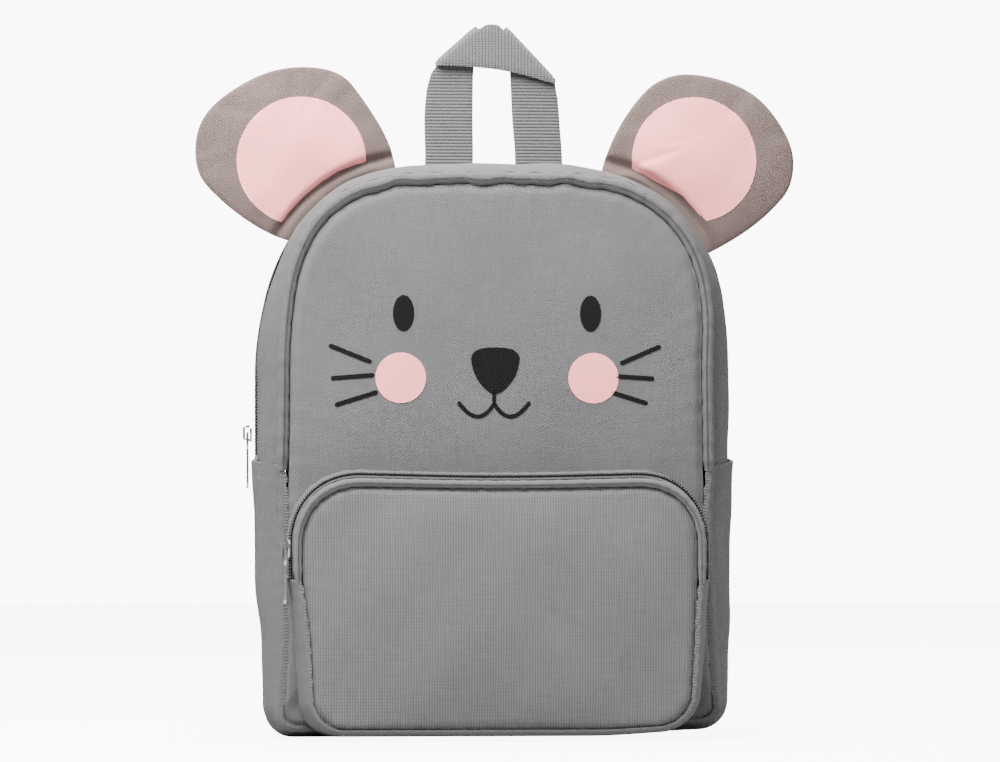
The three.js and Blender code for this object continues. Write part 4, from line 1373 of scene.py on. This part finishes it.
def curved(keys, count):
    """Rows of numbers that pass smoothly through the given key rows."""
    keys = np.asarray(keys, dtype=float)
    leaps = np.diff(keys, axis=0)
    steps = np.linalg.norm(leaps[:, :3], axis=1) + np.linalg.norm(leaps[:, 3:6], axis=1)
    places = np.concatenate([[0], np.cumsum(steps)])
    secants = np.diff(keys, axis=0) / np.diff(places)[:, None]
    before, after = secants[:-1], secants[1:]
    together = before * after > 0
    inner = np.where(together, 2 * before * after / np.where(together, before + after, 1), 0)
    slopes = np.concatenate([secants[:1], inner, secants[-1:]])
    wanted = np.unique(np.concatenate([np.linspace(0, places[-1], count), places]))
    span = np.clip(np.searchsorted(places, wanted, side="right") - 1, 0, len(keys) - 2)
    width = (places[span + 1] - places[span])[:, None]
    t = ((wanted - places[span])[:, None]) / width
    start, end = keys[span], keys[span + 1]
    out, into = slopes[span] * width, slopes[span + 1] * width
    return (
        start * (2 * t**3 - 3 * t**2 + 1)
        + out * (t**3 - 2 * t**2 + t)
        + end * (3 * t**2 - 2 * t**3)
        + into * (t**3 - t**2)
    )


def band_grid(lines, shares):
    """Points across a band whose rows hold its two edges, and its normals."""
    first, second = lines[:, None, :3], lines[:, None, 3:6]
    grid = lerp(first, second, shares[None, :, None])
    run = np.gradient(grid, axis=0)
    across = np.broadcast_to(second - first, grid.shape)
    return grid, unit(np.cross(run, across))


def band(name, lines, wall, material, slot, *nodes, uv=None):
    """A flat band of webbing or cloth with slightly rounded edges."""
    shares = np.linspace(0, 1, 15)
    grid, normal = band_grid(lines, shares)
    thick = wall / 2 * (1 - 0.5 * np.abs(2 * shares - 1) ** 8)[None, :, None]
    laid = None if uv is None else uv(grid)
    piece = wall_piece(name, grid + normal * thick, grid - normal * thick, False, material, laid, sharp=50)
    return stand_for(piece, slot, *nodes)


WEBBING_WALL = 1.8 * MM
LEG_Y = 41.9
FRONT_Y = 38.3
HANDLE_FOOT = (ROLL_LOOP["top"] + ROLL_RADIUS + GAP) / MM

# Each row of the handle: its outer or lower edge, then its inner or upper edge, as x, y and z in millimetres
HANDLE_ROWS = (
    (-32.0, LEG_Y, HANDLE_FOOT, -7.0, LEG_Y, HANDLE_FOOT),
    (-31.4, LEG_Y, 298, -6.4, LEG_Y, 299),
    (-31.8, LEG_Y, 316, -6.6, LEG_Y, 318),
    (-30.8, LEG_Y - 0.2, 331, -6.4, LEG_Y, 338),
    (-28.4, 41.2, 340.5, -5.4, 41.4, 353),
    (-25.8, 40.8, 345.4, -4.2, 40.8, 364.4),
    (-26.2, 39.6, 346.2, -4.8, 39.6, 365.4),
    (-25.2, FRONT_Y, 344.8, -3.6, FRONT_Y, 364.2),
    (-14.0, FRONT_Y - 0.4, 344.6, 0.0, FRONT_Y - 0.2, 366.2),
    (4.0, FRONT_Y - 0.6, 343.2, 3.0, FRONT_Y - 0.3, 366.6),
    (20.0, FRONT_Y - 0.4, 340.2, 6.2, FRONT_Y - 0.2, 366.2),
    (35.4, FRONT_Y, 336.2, 9.2, FRONT_Y, 363.8),
    (36.6, 39.6, 337.4, 10.4, 39.6, 365.2),
    (36.4, 40.8, 336.8, 10.0, 40.8, 364.0),
    (38.0, 41.4, 326.5, 12.6, 41.4, 345),
    (38.8, LEG_Y, 316, 14.0, LEG_Y, 318),
    (40.0, LEG_Y, 300, 15.4, LEG_Y, 300),
    (40.6, LEG_Y, HANDLE_FOOT, 15.8, LEG_Y, HANDLE_FOOT),
)


def handle_uv(grid):
    """Ribs lie level on the legs and upright on the strip that crosses the front."""
    x, y, z = grid[..., 0], grid[..., 1], grid[..., 2]
    in_front = (y < 39.2 * MM)[..., None]
    return np.where(in_front, np.stack([x, z], axis=-1), np.stack([z, x], axis=-1))


def handle():
    rows = curved(np.array(HANDLE_ROWS) * MM, 150)
    band("handle_band", rows, WEBBING_WALL, webbing_cloth, "webbing", "handle_webbing", uv=handle_uv)


STRAP_TOP = 256 * MM
STRAP_TOP_X = 34 * MM
STRAP_LOW_X = 66 * MM
STRAP_WALL = 6 * MM
STRAP_WIDTH = 46 * MM
STRAP_BOW = 34 * MM
STRAP_WEB_WALL = 1.6 * MM
TAB_WALL = 2.4 * MM
STRAP_SWELL_LIMIT = 1.6 * MM
LOWER_WIDTH = 20 * MM
ADJUSTER_HEIGHT = 86 * MM
ADJUSTER_STAND = 16 * MM
ADJUSTER_WALL = 3 * MM
ADJUSTER_BAR = 3.6 * MM
ADJUSTER_SLOT = 2.4 * MM
# Down the strap: the share of its drop, of its bow off the back and of its width
PAD_ROWS = (
    (0, 0, 0.8),
    (0.1, 0.3, 0.88),
    (0.25, 0.72, 0.96),
    (0.45, 1, 1),
    (0.65, 0.94, 0.96),
    (0.85, 0.7, 0.8),
    (1, 0.46, 0.5),
)


def strap_rows(side, sections):
    """The two edges of a strap from sections of height, distance off the back, middle and half width."""
    sections = np.array(sections)
    z, stand, x, half = sections.T
    y = PANEL_DEPTH + stand
    left, right = side * x - half, side * x + half
    return np.stack([left, y, z, right, y, z], axis=1)


def slot_turn(slot_height, way):
    outer = ADJUSTER_STAND + ADJUSTER_WALL / 2 + STRAP_WEB_WALL / 2 + GAP
    half = LOWER_WIDTH / 2
    return [
        (slot_height + way * ADJUSTER_BAR, outer + STRAP_WEB_WALL, STRAP_LOW_X, half),
        (slot_height + way * STRAP_WEB_WALL, outer + STRAP_WEB_WALL / 2, STRAP_LOW_X, half),
        (slot_height, outer - STRAP_WEB_WALL / 2, STRAP_LOW_X, half),
        (slot_height, ADJUSTER_STAND - ADJUSTER_WALL, STRAP_LOW_X, half),
    ]


def pad_sections():
    pad_end = ADJUSTER_HEIGHT + 4 * ADJUSTER_BAR
    drop = STRAP_TOP - pad_end
    top_y = back_cloth_y(STRAP_TOP_X, STRAP_TOP)
    stand = top_y - PANEL_DEPTH + STRAP_WALL / 2 + GAP
    sections = []
    for fall, bow, width in PAD_ROWS:
        middle = lerp(STRAP_TOP_X, STRAP_LOW_X, fall * fall)
        sections.append((STRAP_TOP - drop * fall, stand + STRAP_BOW * bow, middle, STRAP_WIDTH * width / 2))
    return sections


def back_cloth_y(x, z):
    return PANEL_DEPTH + dome(SEAM, BACK_DOME, x, z)


def strap_pad(name, side, node):
    """A padded strap: a closed tube that is stuffed while its two ends are held."""
    rows = curved(strap_rows(side, pad_sections()), 56)
    turn = np.linspace(0, 2 * np.pi, 28, endpoint=False)
    share = 0.5 - 0.5 * np.cos(turn)
    grid, normal = band_grid(rows, share)
    bulge = np.sign(np.sin(turn)) * np.abs(np.sin(turn)) ** 0.75
    ends = np.minimum(1, np.minimum(np.arange(len(rows)), np.arange(len(rows))[::-1]) / 2.0 + 0.35)
    ring = grid + normal * (bulge[None, :] * ends[:, None] * STRAP_WALL * 0.4)[..., None]
    columns, sides = ring.shape[:2]
    i = np.arange(columns - 1)[:, None]
    j = np.arange(sides)[None, :]
    after = (j + 1) % sides
    faces = np.stack([i * sides + j, (i + 1) * sides + j, (i + 1) * sides + after, i * sides + after],
                     axis=-1).reshape(-1, 4).tolist()
    faces.append(list(range(sides)))
    faces.append(list(range((columns - 1) * sides, columns * sides)))
    piece = make_piece(name, ring.reshape(-1, 3), faces, grid_uv(ring), grey_cloth)
    face_out(piece)
    held = np.zeros((columns, sides), dtype=bool)
    held[:2] = True
    held[-2:] = True
    swollen = stuffing(piece, held.ravel(), STRAP_SWELL_LIMIT)
    piece.data.vertices.foreach_set("co", swollen.ravel())
    smoothed(piece, grey_cloth)
    shaped(piece, lambda places: places)
    stand_for(piece, "grey_cloth", node)


def strap(name, side):
    strap_pad(f"strap_pad_{name}", side, f"shoulder_strap_{name}")
    slot_offset = (ADJUSTER_BAR + ADJUSTER_SLOT) / 2
    pad_end = pad_sections()[-1]
    above = (pad_end[0] + 6 * MM, pad_end[1] + 1 * MM, pad_end[2], LOWER_WIDTH / 2)
    upper = [above, (pad_end[0] - 2 * MM, pad_end[1], pad_end[2], LOWER_WIDTH / 2)]
    upper += slot_turn(ADJUSTER_HEIGHT + slot_offset, 1)
    rows = curved(strap_rows(side, upper), 40)
    band(f"strap_end_{name}", rows, STRAP_WEB_WALL, webbing_cloth, "webbing")

    tab_low, tab_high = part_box(f"strap_tab_{name}")
    tab_x = (tab_low[0] + tab_high[0]) / 2 * side
    tab_y = (tab_low[1] + tab_high[1]) / 2 - PANEL_DEPTH
    web_y = tab_y + (tab_high[1] - tab_low[1]) / 2 + GAP + STRAP_WEB_WALL / 2
    half = LOWER_WIDTH / 2
    lower = [(tab_low[2], web_y, tab_x, half), (tab_high[2], web_y, tab_x, half)]
    lower += slot_turn(ADJUSTER_HEIGHT - slot_offset, -1)
    rows = curved(strap_rows(side, lower), 60)
    band(f"strap_lower_{name}", rows, STRAP_WEB_WALL, webbing_cloth, "webbing", f"strap_webbing_{name}")
    tab_half = (tab_high[0] - tab_low[0]) / 2
    tab = [(lerp(tab_low[2], tab_high[2], share), tab_y, tab_x, tab_half) for share in (0, 0.3, 0.7, 1)]
    rows = curved(strap_rows(side, tab), 20)
    band(f"strap_tab_cloth_{name}", rows, TAB_WALL, grey_cloth, "grey_cloth", f"strap_tab_{name}")


handle()
for strap_side, way in (("left", -1), ("right", 1)):
    strap(strap_side, way)


# Hard pieces: the frame's own solids, with softened edges


def hard(node, finish, edge):
    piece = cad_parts[node]
    piece.data.materials.clear()
    piece.data.materials.append(finish)
    soften = piece.modifiers.new("soft edges", "BEVEL")
    soften.width = edge
    soften.segments = 3
    soften.limit_method = "ANGLE"
    soften.angle_limit = math.radians(35)
    soften.harden_normals = False


for zip_name in ("main", "pocket"):
    hard(f"{zip_name}_zip_slider", nickel, 0.35 * MM)
    hard(f"{zip_name}_zip_pull", nickel, 0.3 * MM)
for strap_side in ("left", "right"):
    hard(f"strap_adjuster_{strap_side}", black_plastic, 0.7 * MM)


# Floor, light and camera

FLOOR_HALF = 3.0
FLOOR_GLOW = 8
WORLD_LIGHT = 0.36
WORLD_GLOW = 9.5
LIT_POINT = (0, 0, 0.17)
# Each softbox: its name, where it stands, the size of its side in metres and its power in watts
SOFTBOXES = (
    ("key", (-0.30, -0.40, 0.84), (0.5, 0.5), 32),
    ("fill", (1.5, -1.2, 0.7), (1.2, 1.2), 14),
    ("top", (-0.1, 0.1, 1.3), (1.2, 0.9), 60),
    ("back", (0.7, 1.3, 0.9), (1.0, 1.0), 16),
)
CAMERA_AZIMUTH = math.radians(-4)
CAMERA_DISTANCE = 2.2
CAMERA_HEIGHT = 115 * MM
AXIS_PIXEL = 490.7
SENSOR = 36.0
VIEW_END = 20


def floor():
    mesh = bpy.data.meshes.new("floor")
    signs = ((-1, -1), (1, -1), (1, 1), (-1, 1))
    mesh.from_pydata([(FLOOR_HALF * x, FLOOR_HALF * y, 0) for x, y in signs], [], [[0, 1, 2, 3]])
    piece = bpy.data.objects.new("floor", mesh)
    bpy.context.scene.collection.objects.link(piece)
    paint = Finish("floor")
    grain = paint.noise(paint.object_place(), 0.3, 2.0)
    mesh.materials.append(paint.finish(paint.shade((0.4, 0.4, 0.4, 1.0), grain, 0.03), 0.9))
    seen_brighter(paint.material.node_tree, paint.surface.outputs[0], "Material Output", FLOOR_GLOW)


def area_light(name, place, target, size, power):
    light = bpy.data.lights.new(name, "AREA")
    light.shape = "RECTANGLE"
    light.size, light.size_y = size
    light.energy = power
    lamp = bpy.data.objects.new(name, light)
    lamp.location = place
    lamp.rotation_euler = (Vector(target) - Vector(place)).to_track_quat("-Z", "Y").to_euler()
    bpy.context.scene.collection.objects.link(lamp)


def seen_brighter(tree, shader, output_name, glow):
    """What the camera sees directly is brighter than the light that it gives, as an overlit white set is."""
    path = tree.nodes.new("ShaderNodeLightPath")
    emission = tree.nodes.new("ShaderNodeEmission")
    emission.inputs["Color"].default_value = (1, 1, 1, 1)
    strength = tree.nodes.new("ShaderNodeMath")
    strength.operation = "MULTIPLY"
    strength.inputs[1].default_value = glow
    tree.links.new(path.outputs["Is Camera Ray"], strength.inputs[0])
    tree.links.new(strength.outputs[0], emission.inputs["Strength"])
    both = tree.nodes.new("ShaderNodeAddShader")
    tree.links.new(shader, both.inputs[0])
    tree.links.new(emission.outputs[0], both.inputs[1])
    tree.links.new(both.outputs[0], tree.nodes[output_name].inputs["Surface"])


def studio():
    world = bpy.data.worlds.new("studio")
    world.use_nodes = True
    background = world.node_tree.nodes["Background"]
    background.inputs["Color"].default_value = (1.0, 1.0, 1.0, 1.0)
    background.inputs["Strength"].default_value = WORLD_LIGHT
    seen_brighter(world.node_tree, background.outputs[0], "World Output", WORLD_GLOW)
    bpy.context.scene.world = world
    for name, place, size, power in SOFTBOXES:
        area_light(name, place, LIT_POINT, size, power)


def camera():
    scene = bpy.context.scene
    data = bpy.data.cameras.new("camera")
    view_width = IMAGE_SIZE[0] * PIXEL
    data.sensor_width = SENSOR
    data.lens = SENSOR * CAMERA_DISTANCE / view_width
    data.clip_end = VIEW_END
    lens = bpy.data.objects.new("camera", data)
    aside = (IMAGE_SIZE[0] / 2 - AXIS_PIXEL) * PIXEL
    middle_height = (FLOOR_PIXEL - IMAGE_SIZE[1] / 2) * PIXEL
    look = Vector((-math.sin(CAMERA_AZIMUTH), math.cos(CAMERA_AZIMUTH), 0))
    right = Vector((look.y, -look.x, 0))
    lens.location = right * aside - look * CAMERA_DISTANCE + Vector((0, 0, CAMERA_HEIGHT))
    aim = look * CAMERA_DISTANCE + Vector((0, 0, middle_height - CAMERA_HEIGHT))
    lens.rotation_euler = aim.to_track_quat("-Z", "Y").to_euler()
    scene.collection.objects.link(lens)
    scene.camera = lens


floor()
studio()
camera()
